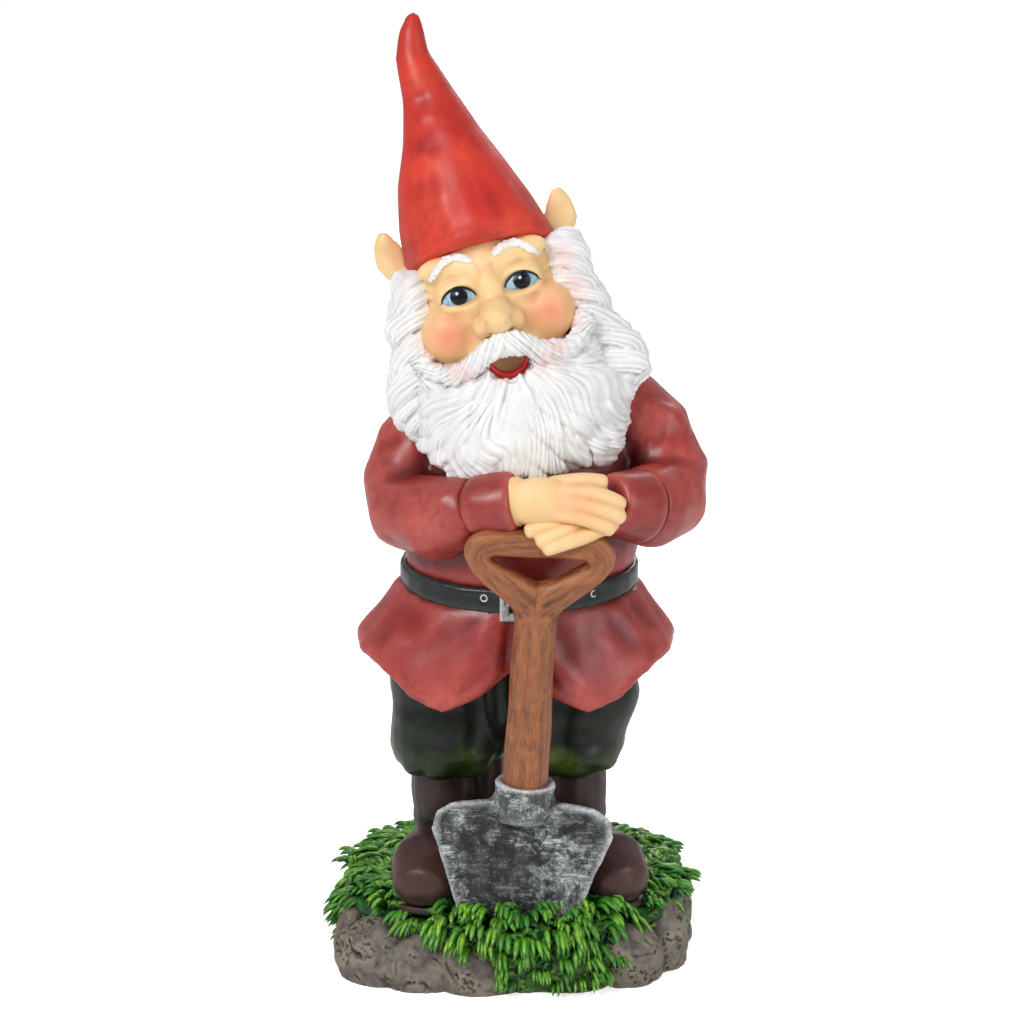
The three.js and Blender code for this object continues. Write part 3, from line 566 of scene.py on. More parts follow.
def hair_material():
    """White paint with painted grey shade in the grooves, a painted highlight on the raised
    strands, and a breath of pink beside the skin.
    """
    s = Shader("hair_paint")
    paint = s.mix(s.span(s.noise(9, 2), 0.35, 0.65), (236, 236, 235), (228, 228, 228))
    paint = s.over(paint, "wear", 0.9, (248, 248, 247))
    shaded = s.times(s.attribute("wash"), s.span(s.noise(5, 2), 0.3, 0.6, 0.65, 1.0))
    paint = s.mix(s.times(shaded, 0.75), paint, (158, 158, 162))
    paint = s.over(paint, "blush", 0.5, (240, 184, 176))
    return s.finish(paint, s.span(s.noise(6, 2), 0.3, 0.7, 0.38, 0.5), s.noise(0.9, 3), 0.03)


def skin_material():
    """Peach paint with air-brushed pink, painted brown shade in the folds, a painted highlight on
    raised places, and a slight translucent softness.
    """
    s = Shader("skin_paint")
    paint = s.mix(s.span(s.noise(11, 2), 0.35, 0.65), (240, 203, 148), (235, 193, 134))
    paint = s.over(paint, "blush", 0.8, (236, 112, 92))
    paint = s.over(paint, "wash", 0.36, (184, 112, 66))
    paint = s.over(paint, "wear", 0.3, (250, 222, 170))
    rough = s.span(s.noise(6, 2), 0.3, 0.7, 0.42, 0.52)
    return s.finish(paint, rough, s.noise(0.8, 3), 0.02, Subsurface_Weight=0.06,
                    Subsurface_Radius=(1.0, 0.45, 0.25), Subsurface_Scale=0.0015)


def eye_material():
    """Gloss-painted eyeball: blue-grey white, near-black iris and a painted catch-light."""
    s = Shader("eye_paint")
    white = s.mix(s.span(s.noise(1.6, 1), 0.35, 0.65), (166, 196, 208), (130, 170, 188))
    paint = s.mix(s.attribute("iris"), white, (5, 6, 8))
    ring = s.math("SUBTRACT", s.attribute("iris"), s.attribute("pupil"))
    paint = s.mix(s.times(ring, 0.25), paint, (28, 42, 62))
    paint = s.mix(s.attribute("glint"), paint, (226, 230, 234))
    return s.finish(paint, s.span(s.noise(2, 1), 0.3, 0.7, 0.24, 0.32), s.noise(1, 1), 0.005,
                    Specular_IOR_Level=0.3)


def wood_material():
    """Brown handle with streaks of darker and redder stain that follow its grain, a painted
    highlight on raised places and painted shade in the hollows.
    """
    s = Shader("wood_paint")
    s.where = s.node("ShaderNodeAttribute", {"attribute_name": "grain"}).outputs["Vector"]
    fine = s.noise(1.1, 4, 1.8, stretch=(1, 1, 9), rough=0.6)
    broad = s.noise(3.0, 4, 2.2, stretch=(1, 1, 5), rough=0.6)
    paint = s.mix(s.span(fine, 0.36, 0.64), (112, 64, 38), (148, 90, 54))
    paint = s.mix(s.span(s.noise(9, 3, 1.2), 0.42, 0.66, 0, 0.7), paint, (170, 98, 56))
    paint = s.mix(s.span(broad, 0.52, 0.7, 0, 0.6), paint, (72, 42, 28))
    paint = s.over(paint, "wear", 0.4, (190, 124, 76))
    paint = s.over(paint, "wash", 0.85, (38, 22, 15))
    return s.finish(paint, s.span(fine, 0.3, 0.7, 0.5, 0.36), fine, 0.16)


def iron_material():
    """Near-black iron paint dry-brushed with silver: haze, scratches and speckle, with painted
    highlights on the edges and painted shade in the hollows.
    """
    s = Shader("iron_paint")
    speckle = s.noise(1.1, 8, 0.6, rough=0.85)
    dabs = s.noise(6.0, 6, 0.3, rough=0.8)
    regions = s.noise(19, 3, 0.2)
    across = s.noise(1.0, 6, 0.8, stretch=(9, 3, 1), rough=0.8)
    strokes = s.math("MAXIMUM", s.span(speckle, 0.5, 0.6), s.span(across, 0.51, 0.62))
    silver = s.times(strokes, s.span(dabs, 0.43, 0.56, 0.08, 1.0))
    silver = s.times(silver, s.span(regions, 0.4, 0.56, 0.3, 1.0))
    haze = s.times(s.span(dabs, 0.4, 0.64), s.span(regions, 0.38, 0.6, 0.06, 0.38))
    silver = s.math("MAXIMUM", silver, haze)
    # A painted highlight along the raised edges, broken by speckle.
    edges = s.times(s.attribute("wear"), s.span(speckle, 0.4, 0.52, 0.3, 1.0))
    silver = s.math("MAXIMUM", silver, edges)
    paint = s.mix(s.span(s.noise(7, 3), 0.35, 0.65), (8, 9, 9), (22, 24, 24))
    paint = s.mix(s.times(silver, 0.9), paint, (222, 228, 228))
    paint = s.over(paint, "wash", 0.85, (7, 8, 9))
    return s.finish(paint, s.span(silver, 0, 1, 0.4, 0.34), speckle, 0.08, Specular_IOR_Level=0.4)


def grass_material():
    """Dark green blades with a painted yellow-green highlight along their crests, and painted shade
    at their roots, on their undersides and on the ground between them.
    """
    s = Shader("grass_paint")
    paint = s.mix(s.span(s.noise(6, 2), 0.35, 0.65), (24, 92, 28), (46, 128, 34))
    bright = s.times(s.attribute("wear"), s.span(s.noise(2.5, 3, 0.8), 0.35, 0.6, 0.3, 1.0))
    paint = s.mix(bright, paint, (168, 224, 60))
    paint = s.mix(s.attribute("wash"), paint, (8, 36, 13))
    return s.finish(paint, s.span(s.noise(4, 2), 0.3, 0.7, 0.28, 0.42), s.noise(0.8, 3), 0.05)


def steel_material():
    """Drawn steel rod, with fine lines along it."""
    s = Shader("steel_rod")
    drawn = s.noise(0.4, 3, stretch=(1, 1, 40))
    paint = s.mix(drawn, (150, 150, 152), (190, 190, 192))
    return s.finish(paint, s.span(drawn, 0.3, 0.7, 0.3, 0.45), drawn, 0.02, Metallic=1.0)


hair_paint = hair_material()
skin_paint = skin_material()
eye_paint = eye_material()
wood_paint = wood_material()
iron_paint = iron_material()
grass_paint = grass_material()
steel_paint = steel_material()


# ---------------------------------------------------------------- base

CRACK_WIDTH, CRACK_DEPTH = 0.9, -2.2


def rock(name, material, replaced, seed, lumps, extras=(), cracks=()):
    """Broken stone: lumps, ledges, pits and cracks pushed into a CAD boulder."""
    surface = clay([replaced], 0.6, 0.4, [(on_figure(p), f) for p, f in extras], 16)
    surface.push(0.4 + lumps * noise(surface.p, 14, seed))
    surface.push(2.0 * np.abs(noise(surface.p, (12, 12, 8), seed + 5)) - 0.9)
    chips = noise(surface.p, (9, 9, 7), seed + 6)
    surface.push(-0.6 * bell(chips, 0.05) * smoothstep(0.1, 0.4, noise(surface.p, 8, seed + 7)))
    for path in cracks:
        surface.crease(on_figure(path), CRACK_WIDTH, CRACK_DEPTH, 0.1)
    pits = smoothstep(0.34, 0.48, noise(surface.p, (1.9, 1.9, 1.1), seed + 3))
    pits += smoothstep(0.40, 0.52, noise(surface.p, (1.0, 1.0, 0.9), seed + 8))
    pits *= smoothstep(-0.1, 0.3, noise(surface.p, 6, seed + 2))
    surface.push(-0.55 * pits)
    surface.push(0.18 * noise(surface.p, 1.8, seed + 4))
    surface.p[:, 2] = np.maximum(surface.p[:, 2], 0)
    marks = surface.hollows(1, 9, 0.8)
    # The stone's own dark pits are added on top of the painted shade in its hollows.
    marks["wash"] = np.clip(marks["wash"] + 0.75 * pits, 0, 1)
    surface.show(name, material, "stone", [replaced], **marks)
    return surface


# Shapes that widen a boulder to its neighbours: [centre, radii] in the figure frame.
ROCK_SWELLS = {
    "stone_front_right": [((-44, -33, 6), (17, 15, 15)), ((-31, -41, 5), (15, 11, 14)),
                          ((-54, -20, 6), (8, 14, 13))],
    "stone_front": [((-12, -45, 3), (16, 9, 12)), ((-20, -43, 6), (11, 9, 11))],
    "stone_front_left": [((38, -36, 6), (13, 12, 15)), ((50, -20, 7), (9, 14, 15))],
    "stone_left": [((55, 0, 7), (7, 15, 14))],
}


# The dark cracks across the front boulders, in the figure frame.
ROCK_CRACKS = {
    "stone_front_right": [[(-27, -42, 22), (-30, -51, 15), (-29, -54, 8), (-31, -53, 0)]],
    "stone_front": [[(-8, -42, 18), (-3, -50, 10), (0, -54, 2)]],
}


def make_stones():
    """The boulders, then the mound; returns the mound, which the grass hangs from."""
    names = sorted(n for n in frame["nodes"] if n.startswith("stone_"))
    for seed, node in enumerate(names):
        extras = [ball(centre, radii) for centre, radii in ROCK_SWELLS.get(node, [])]
        cracks = ROCK_CRACKS.get(node, ())
        rock(f"{node}_rock", stone_paint, node, 40 * seed + 3, 1.2, extras, cracks)
    moss = [ball((16, -42, 7), (20, 11, 13)), ball((3, -45, 6), (10, 8, 11))]
    return rock("mound_earth", earth_paint, "base_mound", 900, 1.0, moss)


BLADE_SIDES = 8


def grass_blade(root, way, side, length, lift, width, droop):
    """A curved pointed blade that rises from its root, bends over and swings to one side."""
    t = np.linspace(0, 1, 9)
    up = np.array([0, 0, 1.0])
    rise = lift * np.sin(np.pi * 0.7 * t) - droop * t**3
    path = root + way * (length * t)[:, None] + side * (0.9 * length * t**2)[:, None]
    path = path + up * rise[:, None]
    taper = width * (0.65 + 0.8 * t) * np.sqrt(1 - t**2.6) + 0.03
    points, faces = tube(path, taper, taper * 0.75, BLADE_SIDES, up + 0.01)
    around = np.arange(BLADE_SIDES) * 2 * np.pi / BLADE_SIDES
    # A painted highlight along the top of each blade's section, from a little way up.
    crest = np.clip(np.sin(around), 0, 1) ** 4
    body = np.outer(smoothstep(0.15, 0.6, t), crest).ravel()
    # Painted shade at the root and on the underside of each blade.
    shade = np.repeat(1 - smoothstep(0.1, 0.65, t), BLADE_SIDES)
    under = np.tile(np.clip(0.3 - np.sin(around), 0, 1), len(t))
    wash = np.clip(0.85 * shade + 0.6 * under, 0, 1)
    return points, faces, np.concatenate([body, [0, 0.6]]), np.concatenate([wash, [1, 0]])


def tuft(root, way, blades, length, lift, width, droop, fan=0.7):
    """A fan of blades that grow side by side and curve over the same way."""
    way = way / np.linalg.norm(way)
    side = np.cross([0, 0, 1], way)
    side = side / max(np.linalg.norm(side), 1e-6)
    bend = side * rng.choice([-1, 1])
    keen = rng.uniform(0.1, 1.0)
    made = []
    for k in range(blades):
        spot = (k + 0.5) / blades * 2 - 1
        lean = fan * spot + rng.normal(0, 0.12)
        heading = way * math.cos(lean) + side * math.sin(lean)
        start = root + side * spot * 0.3 * length + way * rng.normal(0, 0.4)
        size = rng.uniform(0.75, 1.15) * (1 - 0.2 * spot**2)
        points, faces, wear, wash = grass_blade(start, heading, bend, length * size, lift * size,
                                                width, droop)
        made.append((points, faces, wear * keen, wash))
    return made


class Lawn:
    """Where grass can grow: the top of the turf, away from the boots and the blade."""

    SKY, SOIL, TOP = 60, 22, 27

    def __init__(self, ground):
        self.ground = ground.tree()
        points, faces = cad_surface(["boot_left", "boot_right", "spade_blade"])
        self.objects = BVHTree.FromPolygons((points * MM).tolist(), faces.tolist())

    def spot(self, x, y, margin):
        """The ground under x, y, or None beside or under an object."""
        hit = self.ground.ray_cast(Vector((x, y, self.SKY)) * MM, Vector((0, 0, -1)))[0]
        if hit is None:
            return None
        above = self.objects.ray_cast(Vector((x, y, self.SOIL)) * MM, Vector((0, 0, 1)), 9 * MM)[0]
        beside = self.objects.find_nearest(Vector((x, y, self.TOP)) * MM, margin * MM)[0]
        return np.array(hit) / MM if above is None and beside is None else None


# How high the stones stand round the base, with grass above: (degrees from the front, height).
STONE_TOPS = [(-180, 2), (-172, 19), (-148, 19), (-143, 2), (-124, 2), (-120, 18), (-98, 18),
              (-92, 2), (-72, 2), (-65, 18), (-40, 18), (-24, 13), (-10, 7), (-2, 0), (36, 0),
              (42, 16), (98, 18), (102, 2), (144, 2), (148, 19), (166, 19), (170, 2), (180, 2)]
# The heights at which grass is set round the bank.
RIM_LEVELS = (25.2, 24.0, 21.0, 17.8, 14.4, 11.0, 7.6, 4.4, 22.4)
RIM_STEP = 4.4
TUFT_BLADES = 6
TUFT_GAP = 5.6


def stone_top(degrees):
    wrapped = (degrees + 180) % 360 - 180
    return np.interp(wrapped, *zip(*STONE_TOPS))


def aside(out):
    """The direction along the ground to the left of one."""
    return np.array([-out[1], out[0], 0])


def lawn_tufts(lawn, centre, half):
    """Rings of tufts over the top of the base, each swirled to one side."""
    made = []
    for ring in np.linspace(0.10, 0.92, 11):
        count = max(5, int(2 * np.pi * ring * half[0] / TUFT_GAP))
        start = rng.uniform(0, 360)
        for k in range(count):
            degrees = start + 360 * k / count + rng.normal(0, 2)
            out = bearing(degrees)
            x, y = centre[:2] + out[:2] * half[:2] * (ring + rng.normal(0, 0.01))
            spot = lawn.spot(x, y, 0.6)
            if spot is None:
                continue
            swirl = rng.choice([-1, 1]) * rng.uniform(0.6, 1.6)
            way = out * math.cos(swirl) + aside(out) * math.sin(swirl)
            length = 5.2 if ring > 0.8 else 7.8
            made += tuft(spot - [0, 0, 1.2], way, TUFT_BLADES, length, 5.2, 1.1, 0.8, 0.8)
    return made


def rim_tufts(bank, centre):
    """Grass that stands on the rim and spills down the bank, above and between the stones."""
    made = []
    for level in RIM_LEVELS:
        for degrees in np.arange(-180, 180, RIM_STEP):
            degrees += rng.normal(0, 1.4)
            if level < stone_top(degrees) + 1.9:
                continue
            out = bearing(degrees)
            height = level + rng.normal(0, 0.7)
            far = centre * (1, 1, 0) + out * 90 + (0, 0, min(height, 23.0))
            hit = bank.ray_cast(Vector(far * MM), Vector(-out))[0]
            if hit is None:
                continue
            stands = smoothstep(21, 25, height)
            front = smoothstep(0.4, 0.9, -out[1])
            tucked = (1 - front) * smoothstep(12, 22, height)
            root = np.array(hit) / MM - out * (0.9 + 1.4 * stands + 2.3 * tucked)
            root[2] = height - 0.6 * stands - 0.8 * tucked
            side = aside(out) * rng.choice([-1, 1]) * rng.uniform(0.8, 1.8)
            size = (0.64 + 0.36 * smoothstep(4, 20, height)) * (1 - 0.26 * tucked)
            way = out * (0.3 + 0.45 * front) * (1 - 0.5 * stands) + side
            lift = (2.6 + 3.2 * stands) * size
            droop = (4.8 - 3.8 * stands) * size
            made += tuft(root, way, TUFT_BLADES, 5.8 * size, lift, 1.14 * size, droop, 0.95)
    return made


def make_turf(mound):
    """The ground between the boots and every blade of grass, as one piece."""
    ground = clay(["turf"], 0.9, swell=-0.3)
    ground.push(0.9 * rough_noise(ground.p, 6, 2, 3))
    low, high = box_mm("turf")
    centre, half = (low + high) / 2, (high - low) / 2
    points, faces = gather([(mound.p, [mound.f]), (ground.p, [ground.f])])
    bank = BVHTree.FromPolygons((points * MM).tolist(), faces[0].tolist())
    blades = lawn_tufts(Lawn(ground), centre, half) + rim_tufts(bank, centre)
    points, faces = gather([(ground.p, [ground.f])] + [b[:2] for b in blades])
    wear = np.concatenate([np.zeros(len(ground.p))] + [b[2] for b in blades])
    # Patchy painted shade on the ground between the blades.
    ground_shade = np.clip(0.62 + 0.5 * noise(ground.p, 3, 12), 0, 1)
    wash = np.concatenate([ground_shade] + [b[3] for b in blades])
    points[:, 2] = np.maximum(points[:, 2], 0.2)
    show("turf_grass", points, faces, grass_paint, "turf", ["turf"], wear=wear, wash=wash)


# ---------------------------------------------------------------- boots and trousers

def make_boot(side):
    fill = [ball(on_figure((-11, 1, 62)), (8, 10, 26))] if side == "right" else []
    surface = clay([f"boot_{side}"], 0.7, 0.5, fill, 12)
    low, _ = box_mm(f"boot_{side}")
    level = surface.p[:, 2]
    surface.push(0.6 * bell(level - 47, 6) * noise(surface.p, (14, 14, 4), 2))
    surface.push(0.3 * noise(surface.p, 14, 8))
    surface.push(0.5 * bell(level - (low[2] + 1.0), 1.0))
    marks = surface.hollows(4, 40, 0.45)
    # A painted highlight on the toe cap, over a little painted highlight on raised places.
    toe_highlight = bell(surface.p[:, 1] - (low[1] + 9), 9) * bell(level - 38, 8)
    marks["wear"] = np.clip(0.2 * marks["wear"] + 0.6 * toe_highlight, 0, 1)
    surface.show(f"boot_{side}_leather", boot_paint, "boots", [f"boot_{side}"], **marks)
    sole = clay([f"boot_sole_{side}"], 0.6)
    centre = sole.p.mean(axis=0)
    sole.p = centre + (sole.p - centre) * (0.87, 0.93, 1.0)
    sole.push(0.12 * noise(sole.p, (2, 2, 9), 4))
    sole.show(f"boot_sole_{side}_rubber", sole_paint, "soles", [f"boot_sole_{side}"],
              **sole.hollows())


def make_trouser_leg(side):
    node = f"trouser_leg_{side}"
    inner = 9 if side == "left" else -8
    fill = [ball(on_figure((inner, -3, 92)), (9, 14, 26)),
            ball(on_figure((inner * 0.6, 2, 102)), (9, 13, 14))]
    surface = clay([node], 0.8, 0.5, fill, 16)
    low, high = box_mm(node)
    centre = (low + high) / 2
    p = surface.p
    angle = np.arctan2(p[:, 0] - centre[0], -(p[:, 1] - centre[1]))
    level = p[:, 2] - low[2]
    gathers = np.cos(8 * angle + 2.5 * noise(p, 18, 3))
    surface.push(0.55 * gathers * bell(level - 2.5, 3.5))
    surface.push(1.6 * bell(level - 8, 5) * (0.7 + 0.6 * noise(p, 13, 11)))
    folds = noise(p, (26, 26, 9), 21 if side == "left" else 35)
    surface.push(1.6 * folds * smoothstep(6, 14, level))
    marks = surface.hollows(6, 60, 0.35)
    # A painted olive highlight on the gathers above the hem, in patches.
    patches = smoothstep(-0.1, 0.5, noise(p, 11, 5))
    olive_highlight = bell(surface.p[:, 2] - low[2] - 8, 5) * (0.12 + 0.85 * patches)
    marks["wear"] = np.clip(0.08 * marks["wear"] + olive_highlight, 0, 1)
    surface.show(f"{node}_cloth", trouser_paint, "trousers", [node], **marks)


# ---------------------------------------------------------------- coat

# Where painted highlights lighten the coat: (centre in the figure frame, radius).
COAT_LIGHTS = [
    ((-50, -10, 160), 17), ((63, -10, 162), 18), ((-55, -4, 111), 20), ((55, -4, 110), 20),
    ((-40, 2, 186), 10), ((48, 2, 188), 11), ((-24, -38, 100), 10), ((24, -38, 100), 10),
    ((-34, 34, 104), 16), ((36, 32, 104), 16), ((-28, -38, 161), 9), ((0, 30, 176), 22),
]


def coat_marks(surface):
    """Painted highlights on elbows, corners and back, over painted shade in the folds."""
    marks = surface.hollows(5, 60, 0.5)
    glow = sum(nearness(surface.p, *light) for light in COAT_LIGHTS)
    marks["wear"] = np.clip(0.4 * marks["wear"] + 0.5 * glow, 0, 1)
    # Less painted shade towards the back of the coat.
    behind = smoothstep(0, 14, surface.p[:, 1] - FIGURE[1])
    marks["wash"] = (1 - 0.45 * behind) * surface.spread(marks["wash"], 14)
    return marks


# Folds of the upper coat: points in the figure frame, width, height.
COAT_FOLDS = [
    ([(-46, -6, 174), (-38, -20, 170), (-26, -31, 172)], 5.5, -0.5),
    ([(-45, -16, 166), (-34, -30, 166), (-22, -38, 167)], 3.2, 0.8),
    ([(-14, -42, 173), (-18, -42, 166), (-16, -40, 158)], 1.8, -0.9),
    ([(-20, -42, 174), (-24, -40, 166), (-22, -36, 154)], 2.4, 0.7),
    ([(-50, -6, 158), (-40, -24, 151), (-26, -34, 150)], 3.4, -0.8),
    ([(26, -34, 181), (36, -31, 175), (47, -25, 169)], 2.8, -1.7),
    ([(34, -30, 186), (44, -24, 180), (54, -14, 178)], 3.0, 1.2),
    ([(30, -26, 193), (42, -20, 188), (52, -8, 186)], 3.2, -1.0),
    ([(45, -31, 173), (50, -28, 163), (49, -26, 152)], 2.6, -1.3),
    ([(54, -20, 174), (58, -16, 162), (55, -17, 151)], 2.8, 0.8),
    ([(42, -14, 197), (52, -8, 189), (60, -4, 180)], 3.2, 0.8),
    ([(30, -14, 194), (35, -22, 182), (33, -28, 172)], 3.0, -1.4),
    ([(-34, -12, 186), (-42, -8, 178), (-47, -6, 168)], 3.2, -0.8),
    ([(-34, -24, 140), (-20, -33, 146), (-4, -35, 143)], 2.8, 0.7),
    ([(18, -33, 141), (28, -29, 147), (36, -19, 145)], 2.8, 0.7),
    ([(-36, 14, 140), (-20, 28, 150), (0, 31, 160)], 3.8, 1.1),
    ([(38, 14, 142), (24, 27, 152), (8, 31, 164)], 3.8, 1.1),
    ([(-26, 27, 136), (-13, 31, 150), (-8, 30, 176)], 3.8, -0.8),
    ([(28, 26, 136), (17, 30, 152), (13, 29, 176)], 3.8, -0.8),
    ([(-48, 2, 182), (-46, 14, 172), (-44, 15, 158)], 3.2, 1.0),
    ([(58, 2, 184), (57, 14, 172), (52, 16, 158)], 3.2, 1.0),
]


def make_coat():
    """The upper coat and its sleeves, as one piece."""
    sleeves = ["coat_sleeve_left", "coat_sleeve_right"]
    surface = clay(["coat_body", *sleeves], 0.9, swell=0.6, relax=13)
    surface.push(0.35 * noise(surface.p, 26, 51))
    surface.fold(COAT_FOLDS, 1.2, 0.4)
    surface.show("coat_upper", coat_paint, "coat", ["coat_body", *sleeves], **coat_marks(surface))


# Folds of the skirt, most of them from the belt beside the spade: points, width, height.
SKIRT_FOLDS = [
    ([(-1, -34, 128), (-2, -36, 118), (-3, -36, 104)], 2.0, -2.2),
    ([(-6, -34, 127), (-13, -38, 116), (-22, -39, 104)], 3.0, 1.5),
    ([(-9, -34, 127), (-20, -36, 121), (-34, -34, 111)], 2.8, -1.1),
    ([(-4, -37, 113), (-12, -39, 106), (-22, -38, 98)], 2.0, -1.0),
    ([(-22, -32, 128), (-34, -30, 120), (-46, -22, 112)], 4.2, 0.9),
    ([(6, -34, 128), (12, -37, 121), (22, -37, 116)], 1.8, -2.0),
    ([(7, -35, 122), (14, -38, 111), (24, -38, 99)], 3.0, 1.5),
    ([(5, -36, 118), (10, -38, 108), (16, -38, 100)], 1.6, -1.5),
    ([(12, -34, 128), (24, -35, 123), (36, -30, 113)], 2.6, 1.2),
    ([(14, -36, 124), (24, -37, 117), (32, -34, 108)], 1.8, -1.0),
    ([(30, -24, 130), (42, -20, 118), (50, -12, 106)], 4.2, 0.8),
    ([(-41, 2, 130), (-47, 4, 116), (-49, 6, 102)], 4.2, -1.0),
    ([(42, 4, 130), (49, 6, 116), (51, 10, 104)], 4.2, -1.0),
    ([(-30, 22, 130), (-37, 28, 114), (-39, 32, 98)], 4.2, 1.3),
    ([(-14, 30, 130), (-16, 37, 114), (-16, 41, 98)], 4.0, -1.3),
    ([(2, 31, 130), (2, 39, 116), (2, 43, 100)], 4.0, 1.2),
    ([(16, 30, 130), (20, 37, 114), (22, 41, 100)], 4.0, -1.3),
    ([(30, 22, 130), (38, 28, 114), (42, 31, 100)], 4.2, 1.3),
]


CORNER_ANGLE, CORNER_RISE = 62, 5.5


def make_skirt():
    """The skirt, whose front corners lift and whose edge is rounded off."""
    surface = clay(["coat_skirt"], 0.9, swell=0.7, relax=20)
    low, high = box_mm("coat_skirt")
    angle = np.degrees(np.arctan2(surface.p[:, 0] - FIGURE[0], -(surface.p[:, 1] - FIGURE[1])))
    down = (high[2] - surface.p[:, 2]) / (high[2] - low[2])
    corners = bell(np.abs(angle) - CORNER_ANGLE, 17)
    surface.p[:, 2] += CORNER_RISE * corners * smoothstep(0.3, 0.9, down)
    surface.soften(smoothstep(0.62, 0.8, down), 30)
    surface.push(0.5 * noise(surface.p, 28, 71) * smoothstep(0.1, 0.5, down))
    surface.fold(SKIRT_FOLDS, 1.4, 0.35)
    surface.show("coat_skirt_cloth", coat_paint, "coat", ["coat_skirt"], **coat_marks(surface))


def make_cuff(side):
    node = f"coat_cuff_{side}"
    surface = clay([node], 0.6, swell=1.0, relax=40)
    surface.push(0.4 * noise(surface.p, 10, 33))
    marks = surface.hollows(4, 30, 0.4)
    # The cuff takes the dark tone all over, as well as in its hollows.
    marks["wash"] = np.clip(marks["wash"] + 0.2, 0, 1)
    surface.show(f"{node}_cloth", coat_paint, "coat", [node], **marks)


def make_belt():
    surface = clay(["belt"], 0.55, swell=0.7, relax=26)
    surface.push(0.25 * noise(surface.p, (14, 14, 7), 81))
    surface.show("belt_leather", belt_paint, "belt", ["belt"], **surface.hollows(3, 20, 0.35))
    for node in ("belt_buckle", "buckle_prong", "belt_eyelet_left", "belt_eyelet_right"):
        metal = clay([node], 0.3)
        if "eyelet" in node:
            middle = metal.p.mean(axis=0)
            metal.p = middle + (metal.p - middle) * (0.75, 1.0, 0.75)
        metal.push(0.08 * noise(metal.p, 1.5, 6))
        metal.show(f"{node}_metal", silver_paint, "buckle", [node], **metal.hollows(1, 6))


# ---------------------------------------------------------------- spade

# The middle of the wood in the spade frame, from the shaft's foot round the left of the grip.
GRIP_SIDE = [(0, 0, 0), (0, 0, 40), (1, 0, 56), (9, 0, 63), (18, 0, 71), (21, 0, 77),
             (16, 0, 81.5), (0, 0, 83)]
GRAIN_STEPS = 40


def grain_of(points):
    """Coordinates that run with the wood: across it, through it and along it, in metres."""
    q = to_spade(points)
    half = np.where(q[:, 0] < 0, -1.0, 1.0)
    q[:, 0] = np.abs(q[:, 0])
    line = spline(GRIP_SIDE, GRAIN_STEPS + 1)
    gap, along = path_distance(q * (1, 0, 1), line)
    lengths = np.concatenate([[0], np.cumsum(np.linalg.norm(np.diff(line, axis=0), axis=1))])
    k = np.clip(np.searchsorted(lengths, along * lengths[-1]) - 1, 0, GRAIN_STEPS - 1)
    way, away = line[k + 1] - line[k], q - line[k]
    outside = np.where(way[:, 2] * away[:, 0] - way[:, 0] * away[:, 2] < 0, -1.0, 1.0)
    return np.stack([gap * half * outside, q[:, 1], along * lengths[-1]], -1) * MM


def make_spade():
    wood = ["spade_shaft", "spade_grip"]
    surface = clay(wood, 0.6, 0.45, [ball(on_spade((0, 0, 57)), (7.4, 6.2, 10))], 9)
    grain = grain_of(surface.p) / MM
    surface.push(0.22 * rough_noise(grain, (1.6, 1.9, 22), 2, 15))
    surface.push(0.4 * noise(surface.p, 15, 16))
    surface.show("spade_handle_wood", wood_paint, "handle", wood, grain=grain_of(surface.p),
                 **surface.hollows(2, 14, 0.6))
    neck = [ball(on_spade((0, 0.6, -9)), (11.5, 5.5, 9)),
            ball(on_spade((0, 0.8, -13.5)), (19, 3.0, 5.5))]
    iron = clay(["spade_blade"], 0.55, 0.25, neck, 6)
    q = to_spade(iron.p)
    socket_foot = bell(np.hypot(q[:, 0] / 15, (q[:, 2] + 16) / 10), 1.0)
    iron.soften(socket_foot, 90)
    iron.push(0.35 * rough_noise(iron.p, 10, 2, 19))
    marks = iron.hollows(1, 5, 1.0)
    iron.push(0.05 * noise(iron.p, 1.3, 20))
    iron.show("spade_blade_iron", iron_paint, "blade", ["spade_blade"], **marks)


# ---------------------------------------------------------------- head

FORWARD = HEAD_TURN @ np.array([0, -1.0, 0])
EYE_X, EYE_Z = 10.5, 4.7
EYE_HALF_WIDTH, EYE_UP, EYE_DOWN = 5.5, 3.8, 1.8


def mirrored(path, side):
    return on_head(np.array(path) * (side, 1, 1))


def head_blob(centre, radii):
    points, faces = ball(centre, radii)
    return on_head(points), faces


def face_clay():
    """The skull with its nose, eyeballs, cheeks and ears, as one surface in the row frame."""
    features = [head_blob((0, -24.6, 4), (5.0, 4.6, 9.5)),
                head_blob((0, -29.6, -3.8), (5.4, 8.2, 5.7))]
    for side, name in ((-1, "right"), (1, "left")):
        ear_y = to_head(sum(box_mm(f"ear_{name}")) / 2)[1]
        features += [
            head_blob((side * 5.0, -26.6, -5.6), (4.1, 5.4, 3.8)),
            head_blob((side * EYE_X, -20.4, EYE_Z + 1.4), (7.6, 4.9, 6.4)),
            head_blob((side * 11, -18.6, 15.5), (11.5, 4.4, 4.6)),
            head_blob((side * 16.2, -15.5, -5.0), (9.3, 9.0, 8.2)),
            head_blob((side * 28.0, ear_y, 19.5), (4.4, 1.7, 8.5)),
            head_blob((side * 28.9, ear_y, 24.5), (3.0, 1.5, 6.2)),
        ]
    surface = clay(["head", "ear_left", "ear_right"], 0.55, 0.5, features, 7)
    q = to_head(surface.p)
    front = smoothstep(-4, -14, q[:, 1])
    nose = bell(np.hypot(q[:, 0], q[:, 2] + 3), 9)
    surface.soften(smoothstep(25.5, 27, np.abs(q[:, 0])) * smoothstep(12, 15, q[:, 2]), 12)
    return surface.soften(front * (1 - 0.5 * nose), 40)


